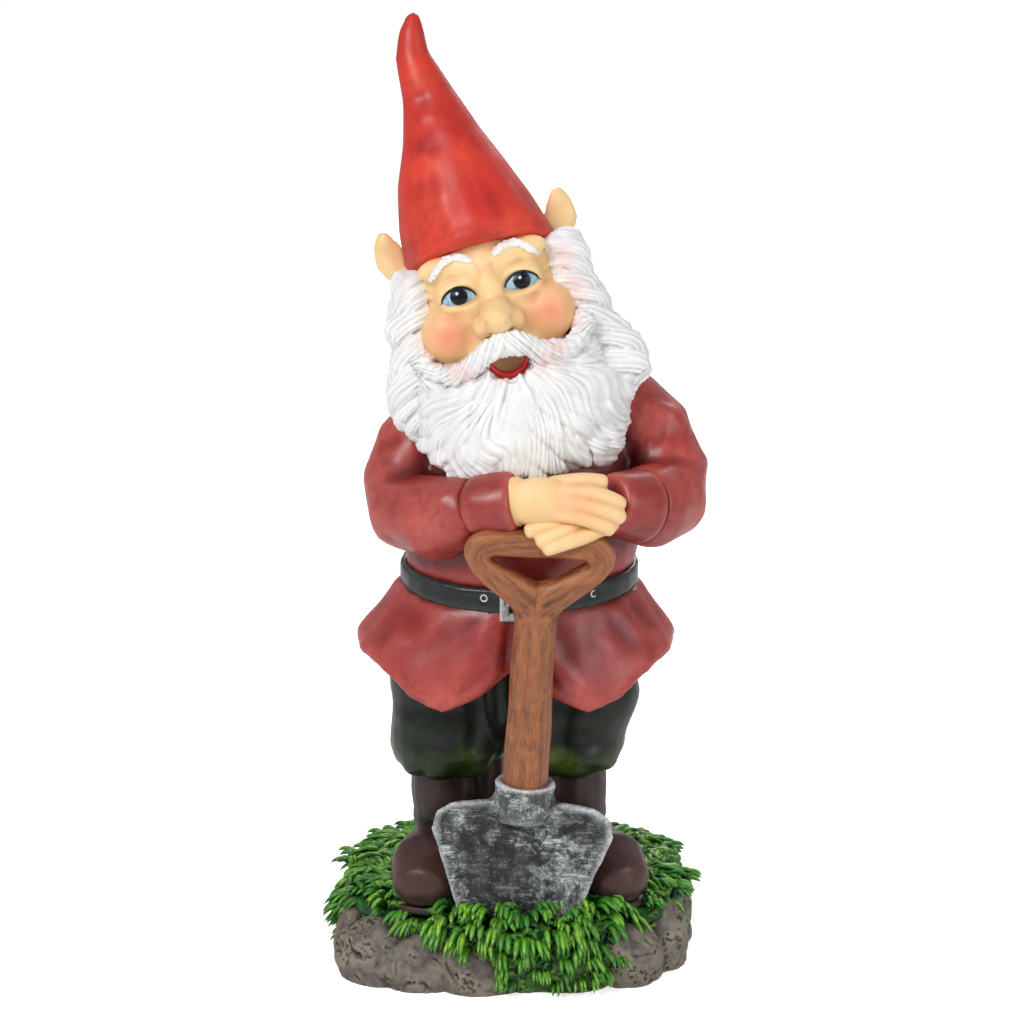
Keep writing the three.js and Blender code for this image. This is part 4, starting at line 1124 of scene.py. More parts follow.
# Lines of one half of the face in the head frame: points, width, height.
FACE_LINES = [
    ([(4.2, -26, 5.4), (7.0, -26, 8.6), (10.4, -25, 9.6), (14.2, -22, 8.0), (16.8, -18, 4.6)],
     1.1, 0.75),
    ([(4.4, -26, 3.6), (7.4, -26, 1.9), (10.6, -25, 1.5), (14, -22, 2.2), (16.6, -19, 3.8)],
     1.2, 0.5),
    ([(4.6, -25, 9.4), (7.4, -25, 11.8), (11.2, -23, 12.2), (15.4, -19, 10.4), (18.2, -16, 6.6)],
     1.2, -0.45),
    ([(5.8, -26, 0.4), (9, -26, -1.4), (13, -24, -1.4), (17, -19, 1.0)], 1.6, -0.4),
    ([(8.8, -26, -3.0), (11.2, -25, -7), (11.8, -25, -12)], 2.0, -0.6),
    ([(0, -24, 15.5), (6, -23.5, 21.5), (14, -19, 20.5)], 1.8, -0.3),
    ([(1.9, -26, 8), (2.1, -25.4, 11.5), (2.8, -24.5, 15.5)], 1.0, -0.3),
    ([(18.0, -17, 3.4), (20.6, -13.5, 1.4), (22, -11, 1.2)], 0.8, -0.35),
    ([(18.4, -17, 6.0), (21.2, -12.5, 5.8)], 0.8, -0.35),
    ([(18.0, -17, 8.2), (20.8, -12.5, 9.6)], 0.8, -0.3),
    ([(9.4, -27, -2.8), (10.0, -26, -6.2), (7.6, -27, -9.4)], 1.1, -0.8),
    ([(2.8, -33, -8.8), (4.4, -30, -9.2)], 1.0, -0.9),
    ([(3.6, -34, -2.5), (4.8, -33, -5.4)], 1.2, -0.45),
]


EAR_HOLLOW = [(26.0, -2.5, 13.5), (27.5, -2.5, 18), (28.5, -2.5, 24)]
MOUTH_Z = -17.5


def make_head():
    """The skin of the head, with its lines, ear hollows, open mouth and blush."""
    surface = face_clay()
    q = to_head(surface.p)
    front = smoothstep(-8, -14, q[:, 1])
    tall = np.where(q[:, 2] > EYE_Z, 4.6, 2.8)
    wide = EYE_HALF_WIDTH + 0.7
    almond = ((np.abs(q[:, 0]) - EYE_X) / wide) ** 2 + ((q[:, 2] - EYE_Z) / tall) ** 2
    surface.push(-0.7 * smoothstep(1.3, 0.7, almond) * front)
    for side in (-1, 1):
        for path, width, depth in FACE_LINES:
            surface.crease(mirrored(path, side), width, depth, 0.25)
        surface.crease(mirrored(EAR_HOLLOW, side), 1.8, -0.8, 0.3)
    below = np.minimum(q[:, 2] - MOUTH_Z, 0) / 5.4
    above = np.maximum(q[:, 2] - MOUTH_Z, 0) / 3.0
    mouth = (q[:, 0] / 6.0) ** 2 + below**2 + above**2
    surface.push(-2.4 * smoothstep(1.25, 0.5, mouth) * front)
    q = to_head(surface.p)
    pink = sum(bell(np.hypot(q[:, 0] - side * 17.2, q[:, 2] + 5.8), 6.0) for side in (-1, 1))
    nose = 0.16 * bell(np.hypot(np.abs(q[:, 0]) - 6, q[:, 2] + 6.5), 3.2)
    blush = np.clip((pink + nose) * front, 0, 1)
    marks = surface.hollows(3, 26, 0.5)
    # Painted shade inside the open mouth.
    marks["wash"] = np.clip(marks["wash"] + 0.12 * smoothstep(1.1, 0.3, mouth) * front, 0, 1)
    surface.show("face", skin_paint, "skin", ["head", "ear_left", "ear_right", "mouth"],
                 blush=blush, **marks)
    return surface


def on_face(tree, x, z, lift):
    """The point of the face at x, z of the head frame, raised forward by `lift`."""
    hit = tree.ray_cast(Vector(on_head((x, -60, z)) * MM), Vector(-FORWARD))[0]
    return np.array(hit) / MM + FORWARD * lift


def eye_outline(angle):
    """An almond whose upper lid is the more arched."""
    x = EYE_HALF_WIDTH * np.cos(angle)
    z = np.where(np.sin(angle) > 0, EYE_UP, EYE_DOWN) * np.sin(angle)
    return x, z * (1 - 0.25 * np.cos(angle) ** 2)


def make_eye(side, name, tree):
    """An almond of gloss paint that bulges from the socket, under a dark lash line."""
    rings, sides = 18, 72
    angle = np.arange(sides) * 2 * np.pi / sides
    outline_x, outline_z = eye_outline(angle)
    centre_x = side * EYE_X
    points, where = [], []
    for r in np.linspace(1, 0, rings + 1)[:-1]:
        for ox, oz in zip(r * outline_x, r * outline_z):
            points.append(on_face(tree, centre_x + ox, EYE_Z + oz, 0.1 + 0.9 * (1 - r * r)))
            where.append((ox, oz))
    points.append(on_face(tree, centre_x, EYE_Z, 1.0))
    where.append((0, 0))
    back = [on_face(tree, centre_x + ox, EYE_Z + oz, -0.8) for ox, oz in zip(outline_x, outline_z)]
    points += back + [np.mean(back, axis=0)]
    where += [(9, 9)] * (sides + 1)
    s, nxt = ring_steps(sides)
    quads = [np.stack([at + s, at + nxt, at + sides + nxt, at + sides + s], -1)
             for at in range(0, (rings - 1) * sides, sides)]
    tip, edge, last = rings * sides, rings * sides + 1, (rings - 1) * sides
    quads.append(np.stack([edge + s, edge + nxt, nxt, s], -1))
    tris = np.concatenate([
        np.stack([last + s, last + nxt, np.full(sides, tip)], -1),
        np.stack([edge + nxt, edge + s, np.full(sides, edge + sides)], -1),
    ])
    where = np.array(where) - (0.2, 1.0)
    away = np.hypot(*where.T)
    glint = np.hypot(where[:, 0] + 0.4, where[:, 1] - 1.1)
    show(f"eye_{name}_ball", np.array(points), [np.concatenate(quads), tris], eye_paint, "eye",
         [f"eye_{name}"], iris=smoothstep(3.0, 2.75, away), pupil=smoothstep(2.2, 1.7, away),
         glint=smoothstep(0.55, 0.35, glint))
    make_lash(side, name, tree)


def make_lash(side, name, tree):
    """The painted line of the upper lid, thickest at its top, with a flick at the outer corner."""
    arc = np.linspace(0.0, np.pi, 26)
    path = [on_face(tree, side * (EYE_X + 1.02 * x), EYE_Z + z + 0.1, 0.2)
            for x, z in zip(*eye_outline(arc))]
    flick = on_face(tree, side * (EYE_X + EYE_HALF_WIDTH + 1.1), EYE_Z - 0.5, 0.15)
    width = np.concatenate([[0.08], 0.2 + 0.28 * np.maximum(np.sin(arc), 0) ** 0.7])
    points, faces = tube(np.array([flick, *path]), width, width * 0.7, 10, FORWARD)
    none = np.zeros(len(points))
    # The lash takes an even share of the dark tone, and no highlight.
    show(f"lash_{name}", points, faces, belt_paint, "eye", wash=none + 0.4, wear=none)


# The red rim of the mouth and the ridge of a brow, in the head frame.
LIP_LINE = [(-7.2, 0, -15.4), (-6.3, 0, -18.8), (-4.0, 0, -22.2), (-0.4, 0, -23.6),
            (3.4, 0, -22.6), (5.9, 0, -20.1), (7.0, 0, -16.8)]
BROW_LINE = [(3.4, 0, 15.6), (7.5, 0, 17.6), (12.6, 0, 17.2), (18.6, 0, 12.2)]


def make_lips(tree):
    """The red rim of the open mouth, thickest at the bottom and thin beside the moustache."""
    path = evened(np.array([on_face(tree, x, z, 1.3) for x, _, z in spline(LIP_LINE, 34)]), 24)
    t = np.linspace(-1, 1, len(path))
    width = 0.6 + 0.7 * (1 - np.abs(t) ** 2)
    sides = 18
    points, faces = tube(path, width, width * 1.1, sides, FORWARD)
    # Painted shade on the underside of the rim and a painted highlight along its top.
    around = np.tile(np.sin(np.arange(sides) * 2 * np.pi / sides), len(path))
    shade = np.concatenate([around, [0, 0]])
    show("lip_rim", points, faces, lip_paint, "lip", ["lower_lip"],
         wash=np.clip(-shade, 0, 1) * 0.5, wear=np.clip(shade - 0.6, 0, 1))


def make_brow(side, name, tree):
    """White strokes of a brow, combed up and outwards."""
    ridge = spline(BROW_LINE, 30)
    strokes = []
    for k in range(11):
        shift = 0.6 * math.sin(k * 2.4)
        path = [on_face(tree, side * x, z + shift + 0.07 * step, 0.4)
                for step, (x, _, z) in enumerate(ridge[2 * k:2 * k + 10])]
        strokes.append(lock(np.array(path), FORWARD, 0.85, 0.8, 4, 18))
    surface = clay([], 0.22, 0, strokes, 1)
    surface.push(0.5 * np.abs(noise(surface.p, (0.9, 1.4, 0.9), 17)) - 0.12)
    surface.show(f"brow_{name}", brow_paint, "hair", [f"eyebrow_{name}"],
                 **surface.hollows(1, 5, 0.6))


# Soft dents and bulges of the hat: points in the figure frame, width, height.
HAT_FOLDS = [
    ([(-35, -8, 262), (-28, -18, 267), (-18, -19, 262)], 5.0, -1.0),
    ([(-35, -4, 273), (-29, -12, 279), (-20, -12, 277)], 3.8, -1.4),
    ([(-35, -6, 281), (-28, -9, 287), (-20, -7, 284)], 3.2, 1.1),
    ([(-34, -2, 290), (-29, -7, 295), (-24, -5, 300)], 3.0, -1.2),
    ([(-36, -2, 302), (-34, -4, 306), (-31, -4, 312)], 2.6, 0.8),
    ([(-28, -18, 270), (-22, -22, 260), (-22, -25, 250)], 5.0, 1.0),
    ([(-14, -16, 272), (-8, -22, 262), (-2, -25, 252)], 5.0, -0.9),
    ([(-12, -14, 280), (-2, -18, 268), (6, -16, 256)], 3.6, 0.8),
    ([(-20, 8, 286), (-14, 12, 278), (-6, 14, 270)], 4.0, -1.2),
    ([(-32, 8, 278), (-26, 14, 270), (-14, 20, 264)], 4.4, 1.1),
]


# Where painted highlights lighten the hat: (centre in the figure frame, radius).
HAT_LIGHTS = [((-30, -14, 272), 8), ((-27, -20, 256), 10), ((-16, -16, 276), 6),
              ((-33, -6, 300), 6), ((2, -22, 256), 8)]


def make_hat():
    """The hat, with a seam above its brim and soft dents."""
    surface = clay(["hat"], 0.8, swell=0.3, relax=7)
    q = to_head(surface.p)
    level = q[:, 2] + 0.38 * q[:, 1]
    surface.push(0.4 * noise(q, 19, 91) * smoothstep(18, 40, q[:, 2]))
    surface.push(0.45 * bell(level - 13.2, 1.3))
    surface.fold(HAT_FOLDS, 0.8, 0.4)
    # Painted highlights on the hat, over painted shade in its dents.
    marks = surface.hollows(6, 60, 0.4)
    glow = sum(nearness(surface.p, *light) for light in HAT_LIGHTS)
    marks["wear"] = np.clip(0.4 * marks["wear"] + 0.6 * glow, 0, 1)
    surface.show("hat_felt", hat_paint, "hat", ["hat"], **marks)


# ---------------------------------------------------------------- hair

def lock(path, outward, width, thickness, flutes=12, sides=60, depth=0.2):
    """A pointed, grooved lock of hair along a path."""
    t = np.linspace(0, 1, len(path))
    swell = np.sin(np.pi * np.clip(0.1 + 0.9 * t, 0, 1)) ** 0.6
    return tube(path, width * swell + 0.05, thickness * swell + 0.04, sides, outward, flutes, depth,
                rng.uniform(0, 6))


def hair_mass(nodes, locks, fill=(), voxel=0.42, swell=-1.0):
    """Locks and the volume under them, merged into one carved surface."""
    return clay(nodes, voxel, swell, [*fill, *(k for k in locks if k is not None)], 1)


def show_hair(name, surface, replaces, gain=0.7, extra_pink=0.0):
    """Shows carved hair, with pink where it lies beside the face and any extra pink given."""
    q = to_head(surface.p)
    beside = bell(np.hypot(q[:, 0] / 1.1, q[:, 2] - 2) - 24.5, 3.5) * smoothstep(-4, -12, q[:, 1])
    blush = 0.8 * beside * smoothstep(-0.3, 0.3, noise(surface.p, 7, 5))
    surface.show(name, hair_paint, "hair", replaces, blush=blush + extra_pink,
                 **surface.hollows(1, 6, gain))


class HairBed:
    """A volume that locks are laid over, addressed by angle round an upright axis and height."""

    FAR = 90

    def __init__(self, nodes, axis, swell=-0.6, fill=()):
        self.tree = clay(nodes, 1.0, swell, fill, 4).tree()
        self.axis = np.asarray(axis, float)

    def reach(self, degrees, z):
        """How far the base stands out from the axis, or None."""
        out = Vector(bearing(degrees))
        axis = Vector((self.axis[0], self.axis[1], z))
        hit = self.tree.ray_cast((axis + out * self.FAR) * MM, -out, (self.FAR - 5) * MM)
        return None if hit[0] is None else self.FAR - hit[3] / MM

    def lay(self, rows, width, thickness, lift=0.6, keep=0.9, flutes=12):
        """A lock through rows of (degrees round, height) over the base, or None if it misses.

        It never turns in to less than `keep` of the furthest that it has stood out.
        """
        reached = [(degrees, z, self.reach(degrees, z)) for degrees, z in rows]
        first = next((k for k, row in enumerate(reached) if row[2] is not None), None)
        if first is None or len(reached) - first < 8:
            return None
        spots, outs, furthest, last = [], [], 0.0, 0.0
        for degrees, z, far in reached[first:]:
            far = last if far is None else far
            furthest = max(furthest, far)
            last = max(far, keep * furthest)
            out = bearing(degrees)
            spots.append(self.axis * (1, 1, 0) + out * (last + lift) + (0, 0, z))
            outs.append(out + (0, 0, 0.15))
        return lock(evened(np.array(spots), 3), np.array(outs), width, thickness, flutes)


BEARD_RADIUS = 36.0
BEARD_AXIS = (2.0, -4.0, 0.0)
BEARD_SOURCE = (-4.0, 218.0)


def beard_fan(points):
    """Angle from straight down and distance about the mouth, with the beard unrolled flat."""
    x, y = (points - on_figure(BEARD_AXIS))[:, :2].T
    across = BEARD_RADIUS * np.arctan2(x, -y) - BEARD_SOURCE[0]
    down = BEARD_SOURCE[1] - points[:, 2]
    return np.arctan2(across, down), np.hypot(across, down)


def sway(angle, reach):
    """How far strands swing aside, in radians, as they run down from the mouth."""
    return 0.13 * np.sin(reach / 8.5 + 3.0 * np.sin(2.3 * angle)) * smoothstep(6, 24, reach)


# Volume that the beard has beyond its CAD solid: (centre, radii) in the figure frame. The last one
# closes the tip under the locks, and they are not laid over it.
BEARD_FILLS = [((29, -13, 192), (9.5, 11, 15)), ((-23, -14, 187), (9, 12, 12)),
               ((-20, -20, 180), (9, 12, 8)), ((27, -20, 183), (9.5, 11, 9)),
               ((4, -25, 181), (24, 11, 9)), ((3, -32, 176.5), (10, 6, 4))]
# Where each layer of the beard starts below the mouth, and its number of bundles.
BEARD_LAYERS = ((14, 13), (22, 16), (29, 19), (35, 24))
BEARD_SPREAD = 1.45


def make_beard():
    """Bundles that fan out from the mouth to wavy tips, with fine strands carved along them."""
    fill = [ball(on_figure(centre), radii) for centre, radii in BEARD_FILLS]
    bed = HairBed(["beard"], on_figure(BEARD_AXIS), -1.0, fill[:-1])
    locks = []
    for layer, (start, count) in enumerate(BEARD_LAYERS):
        for k in range(count):
            s = (k + 0.5) / count * 2 - 1 + rng.normal(0, 0.012)
            fan = BEARD_SPREAD * s
            end = min(44.0 / math.cos(fan * 0.8), 60) + rng.uniform(-2.5, 1.2)
            begin = start * (1 + 0.2 * abs(s)) + rng.uniform(-3, 3)
            rows = []
            for reach in np.linspace(begin, max(end, begin + 12), 24):
                swing = fan + sway(fan, reach)
                degrees = math.degrees((BEARD_SOURCE[0] + reach * math.sin(swing)) / BEARD_RADIUS)
                rows.append((degrees, BEARD_SOURCE[1] - reach * math.cos(swing)))
            size = rng.uniform(0.8, 1.25)
            locks.append(bed.lay(rows, 3.1 * size, 1.6 * size, 0.2 * layer - 0.5, 0.97, 0))
    surface = hair_mass(["beard"], locks, fill, 0.38, -1.0)
    angle, reach = beard_fan(surface.p)
    strand = angle + sway(angle, reach)
    inner, outer = smoothstep(15, 25, reach), smoothstep(32, 46, reach)
    shares = (1 - inner, inner * (1 - outer), outer)
    for scales, depth in (((3.5, 6, 10), 1.1), ((10, 19, 36), 1.0)):
        lines = [np.abs(noise(np.stack([n * strand, reach / 16, 0 * reach], -1), 1, int(n)))
                 for n in scales]
        surface.push(depth * (sum(share * line for share, line in zip(shares, lines)) - 0.3))
    q = to_head(surface.p)
    under_cheeks = smoothstep(-17, -14, q[:, 2]) * smoothstep(26, 23, np.abs(q[:, 0]))
    surface.p -= FORWARD * (7.0 * under_cheeks)[:, None]
    # Pink towards the tip of the beard.
    tips = bell(np.linalg.norm((surface.p - on_figure((6, -36, 175))) * (0.7, 0.7, 1), axis=1), 6)
    show_hair("beard_hair", surface, ["beard"], 0.5, 0.16 * tips)


# The edges of half the moustache, from under the nose outwards, and how far forward it stands.
MOUSTACHE_TOP = [(0, 0, -8.6), (5, 0, -9.4), (10, 0, -12.6), (16.5, 0, -15.4), (22.5, 0, -14.2),
                 (27, 0, -10.4)]
MOUSTACHE_LOW = [(0, 0, -15.8), (6.2, 0, -16.8), (11.2, 0, -19.9), (17.5, 0, -21.4),
                 (24.3, 0, -19.6), (29, 0, -13.8)]
MOUSTACHE_FRONT = [(0, -34.8, 0), (6, -34.2, 0), (12, -31.8, 0), (17.5, -28.6, 0),
                   (24, -24.4, 0), (28, -19.4, 0)]
MOUSTACHE_STEPS = 60
MOUSTACHE_LINES = [spline(line, MOUSTACHE_STEPS + 1)
                   for line in (MOUSTACHE_TOP, MOUSTACHE_LOW, MOUSTACHE_FRONT)]
# The blobs that round off each end of the moustache and fill its lower edge.
MOUSTACHE_FILLS = [((26.5, -15.5, -13.5), (4.2, 4.6, 5.5)), ((25.0, -18.5, -19.5), (4.4, 4.0, 4.4)),
                   ((12.5, -25.5, -20.5), (6.0, 3.8, 2.8)), ((9.6, -27.5, -18.4), (2.4, 3.0, 2.2))]


def moustache_point(share, drop, rise, side=-1):
    """A point of half the moustache: `share` 0..1 outwards, `drop` 0..1 from top to lower edge."""
    row = min(max(share, 0), 1) * MOUSTACHE_STEPS
    k = min(int(row), MOUSTACHE_STEPS - 1)
    f = row - k
    top, low, front = (line[k] * (1 - f) + line[k + 1] * f for line in MOUSTACHE_LINES)
    x, z = (top + (low - top) * drop)[[0, 2]]
    if side > 0:
        z -= 2.4 * drop * float(smoothstep(3, 13, x))
    round_off = 4.2 * (1 - math.sqrt(max(1 - (1.9 * drop - 0.95) ** 2, 0)))
    return np.array([x, front[1] + round_off - rise, z])


def make_moustache():
    """Strands that leave the middle of the lip and run down and out along each half."""
    locks, fill = [], []
    for side in (-1, 1):
        for s in np.linspace(0, 1, 14):
            x, y, z = moustache_point(s, 0.48, -1.6, side)
            fill.append(head_blob((side * x, y, z), (3.4, 3.3, 4.3 - 1.9 * s)))
            fill.append(head_blob((side * x, y + 5, z), (3.8, 6.0, 3.9 - 1.5 * s)))
        fill += [head_blob((side * x, y, z), radii) for (x, y, z), radii in MOUSTACHE_FILLS]
        for layer in range(2):
            for k in range(19):
                s = (k + 0.5 * layer) / 19
                start = 0.88 * s ** 0.9
                reach = min(0.24 + 0.08 * math.sin(2 * k), 1.04 - start)
                path = []
                for a in np.linspace(0, 1, 18):
                    drop = 0.03 + 0.93 * a ** 1.15 + 0.03 * math.sin(6 * a + k)
                    path.append(moustache_point(start + reach * a, drop, 0.2 * layer, side))
                size = rng.uniform(0.8, 1.25)
                outward = FORWARD + (side * 0.5 * s, 0, 0)
                locks.append(lock(mirrored(path, side), outward, 1.1 * size, size, 0, 24))
    surface = hair_mass([], locks, fill, 0.3, 0)
    q = to_head(surface.p)
    out = np.abs(q[:, 0])
    top, low = (np.interp(out, *np.array(edge)[:, [0, 2]].T)
                for edge in (MOUSTACHE_TOP, MOUSTACHE_LOW))
    drop = (top - q[:, 2]) / (top - low)
    across = out - (3.5 + 0.2 * out) * drop
    for size, depth in ((2.2, 1.0), (1.0, 0.7)):
        line = np.abs(noise(np.stack([across / size, 0.8 * drop, np.sign(q[:, 0])], -1), 1, 61))
        surface.push(depth * (line - 0.3))
    show_hair("moustache_hair", surface, ["moustache"], 0.6)


# Hair beside the face in the head frame: (height, inner edge, outer edge) on each side.
SIDE_OUTLINES = {
    "left": [(14, 22, 30.5), (7, 22, 33), (0, 22.5, 32), (-6, 24, 32.5), (-9, 25, 35.5),
             (-14, 26, 36), (-18, 27, 34.5), (-22, 27, 39), (-29, 27, 43.5), (-34, 27, 43),
             (-40, 26, 37)],
    "right": [(14, 21, 27.5), (9, 21.5, 29.5), (3, 22, 29.5), (-2, 23, 34), (-8, 24, 33.5),
              (-14, 25, 35), (-20, 26, 37.5), (-27, 27, 40), (-33, 26, 38.5), (-38, 26, 34)],
}


def side_edges(name, z):
    """The inner and outer edge of the hair beside the face at a height of the head frame."""
    heights, inner, outer = zip(*SIDE_OUTLINES[name][::-1])
    return np.interp(z, heights, inner), np.interp(z, heights, outer)


def make_side_hair(name, side):
    """Tiers of locks that sweep from the edge of the face out and down to curled tips."""
    locks, fill = [], []
    for z in range(14, -37, -3):
        inner, outer = side_edges(name, z)
        half = (outer - inner) / 2 - 0.2
        fill += [
            head_blob((side * (inner + outer) / 2, -2, min(z, 13)), (half, 12.4, 5)),
            head_blob((side * (inner + 1.4), -9.2, z), (4.2, 5.9, 3.2)),
            head_blob((side * (inner + outer - 3.5) / 2, 9, min(z, 11)), (4.4, 8, 4)),
        ]
    for start in np.arange(15, -30, -3.9):
        for k in range(9):
            back = k / 8
            z = start + rng.uniform(-1.4, 1.4)
            fall = rng.uniform(8, 13)
            inner, _ = side_edges(name, z)
            _, middle = side_edges(name, z - 0.55 * fall)
            _, outer = side_edges(name, z - fall)
            y = -13.6 + 24 * back
            root = inner + (middle - inner) * min(1, 2.2 * back)
            curl = rng.uniform(0.4, 2.4) * (1 - 0.6 * back)
            rows = [
                (root - 1.5, y, z + 0.4),
                (root + 0.45 * (middle - root), y - 1.0 * (1 - back), z - 0.06 * fall),
                (middle - 0.2, y + 1.5, z - 0.40 * fall),
                (outer - 0.4, y + 4.0, z - 0.78 * fall),
                (outer - 0.8, y + 5.0, z - 1.02 * fall),
                (outer + curl, y + 5.5, z - 1.06 * fall),
            ]
            path = mirrored(spline(rows, 24), side)
            outward = HEAD_TURN @ np.array([side * (0.45 + back), -1.1 + 1.1 * back, 0.3])
            size = rng.uniform(0.8, 1.3)
            locks.append(lock(path, outward, 2.3 * size, 1.4 * size, 8, 48, 0.22))
    surface = hair_mass([], locks, fill, 0.4, 0)
    show_hair(f"hair_{name}_locks", surface, [f"hair_{name}"], 0.7)


def make_back_hair():
    """Long locks that hang from under the hat round the back of the head."""
    fill = [head_blob((0, 9, -8), (25, 14, 24))]
    bed = HairBed(["hair_back"], HEAD_CENTRE + (2, 4, 0), -0.8, fill)
    low, high = box_mm("hair_back")
    locks = []
    for layer in range(4):
        for k in range(24):
            degrees = 74 + 212 * (k + rng.uniform(0.2, 0.8)) / 24
            top = high[2] - 2 - 11 * layer - rng.uniform(0, 6)
            bottom = max(top - rng.uniform(24, 34), low[2] + rng.uniform(0, 4))
            swing, phase = rng.uniform(3, 6), rng.uniform(0, 6)
            rows = [(degrees + swing * math.sin(5.0 * a + phase), top + (bottom - top) * a)
                    for a in np.linspace(0, 1, 20)]
            locks.append(bed.lay(rows, rng.uniform(2.4, 3.6), 1.6, 0.2 * layer))
    surface = hair_mass(["hair_back"], locks, fill, 0.45, -0.8)
    show_hair("hair_back_locks", surface, ["hair_back"], 0.9)


# ---------------------------------------------------------------- hands

def finger(rows, radius):
    """A rounded tube through rows of (x, y, z) in the figure frame."""
    path = spline([on_figure(r) for r in rows], 18)
    t = np.linspace(0, 1, len(path))
    girth = radius * np.sqrt(np.clip(1 - np.clip((t - 0.84) / 0.16, 0, 1) ** 2, 0.02, 1))
    return tube(path, girth, girth * 0.92, 20, (0.02, -1, 0.05))


# Fingers of each hand as it rests on the grip: rows in the figure frame.
UPPER_FINGERS = [
    [(12, -43, 173.5), (22, -45.4, 175.2), (30.2, -44.6, 174.2)],
    [(12, -46, 171.5), (24, -48.4, 171.8), (31, -48.0, 169.6), (35.2, -46, 166.6)],
    [(12, -47, 168.5), (23, -49.8, 168.0), (30.5, -49.6, 165.8), (35.4, -47.4, 162.8)],
    [(12, -47.5, 165.4), (21, -50.2, 164.4), (27.5, -50.2, 162.2), (32.2, -48.6, 159.2)],
]
LOWER_FINGERS = [
    [(17, -45, 161), (9, -47.4, 160.2), (3.2, -47.6, 158.4)],
    [(21, -46, 160.5), (13, -49, 158), (6.8, -49.4, 155.2)],
    [(30, -46.5, 160.5), (22, -49.2, 157.4), (14, -50.2, 155), (8.8, -50, 153.2)],
]
HAND_FINGERS = {"right": UPPER_FINGERS, "left": LOWER_FINGERS}
HAND_PALMS = {
    "right": [((8.5, -44.6, 168), (13, 6.4, 8.2)), ((0, -42.6, 167.4), (7, 6, 8.4)),
              ((19, -45.8, 168), (11, 4.8, 7.6)), ((26, -46.0, 167), (8, 3.2, 6.4))],
    "left": [((25, -43.5, 161.0), (9.5, 5.2, 5.2)), ((34, -39.5, 161.5), (6, 5, 5.5))],
}
HAND_GIRTH = {"right": 2.75, "left": 2.55}


def make_hand(side):
    shapes = [finger(rows, HAND_GIRTH[side]) for rows in HAND_FINGERS[side]]
    shapes += [(on_figure(p), f) for p, f in (ball(*palm) for palm in HAND_PALMS[side])]
    surface = clay([], 0.42, 0, shapes, 6)
    surface.soften(nearness(surface.p, (16, -50, 169), 6.5), 60)
    marks = surface.hollows(3, 24, 0.75)
    knuckles = nearness(surface.p, (20, -50, 169), 7)
    tips = sum(nearness(surface.p, rows[-1], 2.6) for rows in HAND_FINGERS[side])
    surface.show(f"hand_{side}_skin", skin_paint, "skin", [f"hand_{side}"],
                 blush=np.clip(0.4 * knuckles + 0.3 * tips, 0, 1), **marks)


# ---------------------------------------------------------------- stage

def area_light(name, place, aim, size, watts):
    light = bpy.data.lights.new(name, "AREA")
    light.shape = "DISK"
    light.size = size
    light.energy = watts
    lamp = bpy.data.objects.new(name, light)
    lamp.location = place
    lamp.rotation_euler = (Vector(aim) - Vector(place)).to_track_quat("-Z", "Y").to_euler()
    bpy.context.scene.collection.objects.link(lamp)


def make_sky():
    """A white studio: pure white to look at, gentler as a light."""
    as_light, as_seen = 0.42, 1.0
    world = bpy.data.worlds.new("studio")
    world.use_nodes = True
    nodes, links = world.node_tree.nodes, world.node_tree.links
    background = nodes["Background"]
    background.inputs["Color"].default_value = (1, 1, 1, 1)
    ray = nodes.new("ShaderNodeLightPath")
    level = nodes.new("ShaderNodeMapRange")
    level.inputs["To Min"].default_value = as_light
    level.inputs["To Max"].default_value = as_seen
    links.new(ray.outputs["Is Camera Ray"], level.inputs["Value"])
    links.new(level.outputs[0], background.inputs["Strength"])
    bpy.context.scene.world = world


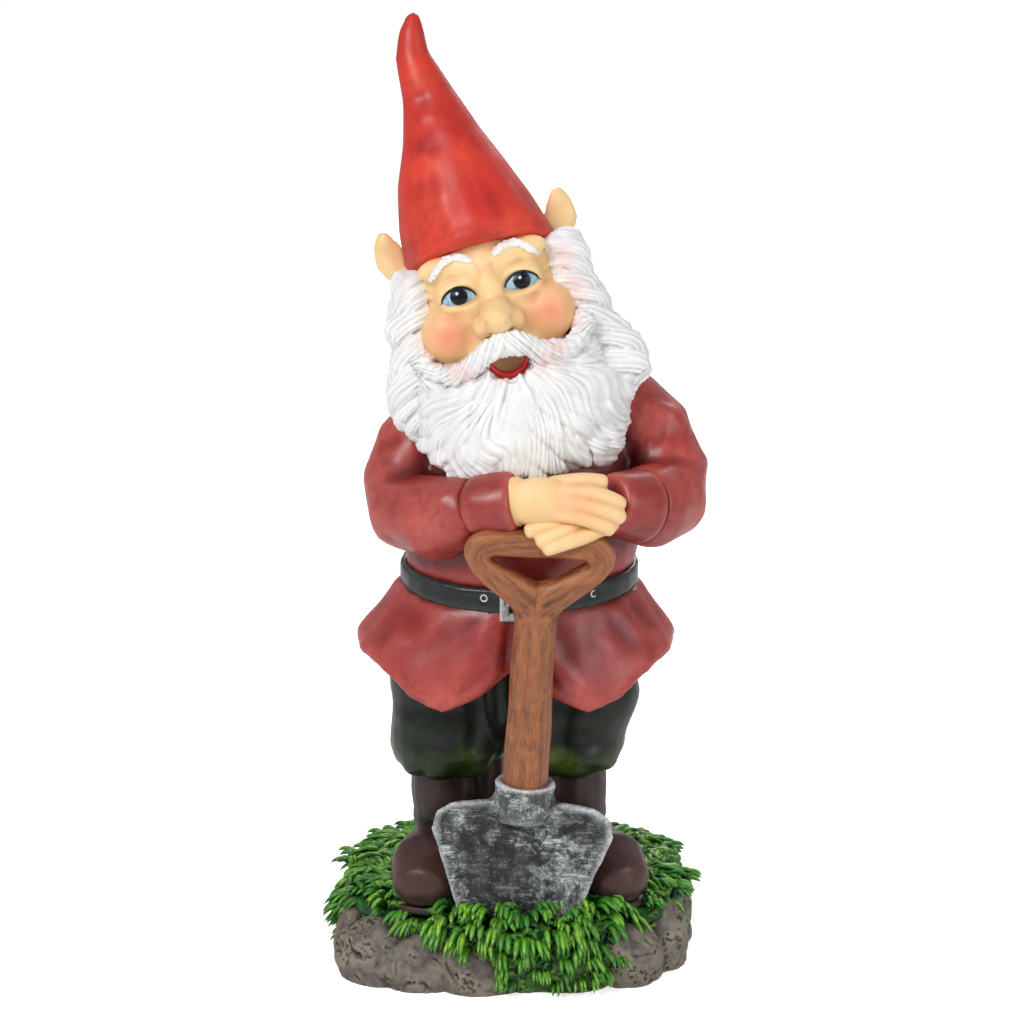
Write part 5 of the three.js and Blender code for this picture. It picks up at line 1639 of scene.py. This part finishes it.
def make_floor():
    s = Shader("floor_paper")
    paper = s.mix(s.noise(60, 2), (250, 250, 250), (252, 252, 252))
    seen = s.node("ShaderNodeLightPath").outputs["Is Camera Ray"]
    s.put(s.surface.inputs["Emission Strength"], s.times(seen, 0.62))
    material = s.finish(paper, s.span(s.noise(40, 1), 0, 1, 0.85, 0.9), Emission_Color=(1, 1, 1, 1))
    half, sunk = 3000.0, 0.05
    corners = np.array([(-half, -half, 0), (half, -half, 0), (half, half, 0), (-half, half, 0)])
    mesh = new_mesh("floor", corners - (0, 0, sunk), [[(0, 1, 2, 3)]])
    mesh.materials.append(material)
    floor = bpy.data.objects.new("floor", mesh)
    bpy.context.scene.collection.objects.link(floor)


def make_camera():
    """A long lens 1.1 m away, looking down 15 degrees at the middle of the figure."""
    camera = bpy.data.cameras.new("camera")
    camera.sensor_width = 36
    camera.lens = 114.75
    camera.shift_x = -0.0024
    camera.shift_y = 0.0078
    camera.clip_end = 20
    view = bpy.data.objects.new("camera", camera)
    tilt, distance, height = math.radians(15), 1100, 150
    place = on_figure((0, -distance * math.cos(tilt), height + distance * math.sin(tilt)))
    view.location = Vector(place) * MM
    view.rotation_euler = (math.pi / 2 - tilt, 0, 0)
    bpy.context.scene.collection.objects.link(view)
    bpy.context.scene.camera = view


def make_stage():
    bpy.context.scene.view_settings.view_transform = "Standard"
    make_camera()
    make_sky()
    make_floor()
    area_light("key", (-0.75, -1.0, 1.15), (0, 0, 0.16), 0.7, 14)
    area_light("fill", (1.0, -0.9, 0.6), (0, 0, 0.15), 0.9, 5)
    area_light("back", (0.3, 1.2, 0.9), (0, 0, 0.2), 0.8, 6)


# ---------------------------------------------------------------- the gnome

make_stage()
make_turf(make_stones())
for limb_side in ("left", "right"):
    make_boot(limb_side)
    make_trouser_leg(limb_side)
    make_cuff(limb_side)
    make_hand(limb_side)
make_coat()
make_skirt()
make_belt()
make_spade()
face = make_head().tree()
make_lips(face)
for limb_name, limb_sign in (("left", 1), ("right", -1)):
    make_eye(limb_sign, limb_name, face)
    make_brow(limb_sign, limb_name, face)
    make_side_hair(limb_name, limb_sign)
make_hat()
make_beard()
make_moustache()
make_back_hair()
for rod in ("leg_rod_left", "leg_rod_right", "neck_rod", "spade_rod"):
    frame["nodes"][rod].data.materials.clear()
    frame["nodes"][rod].data.materials.append(steel_paint)
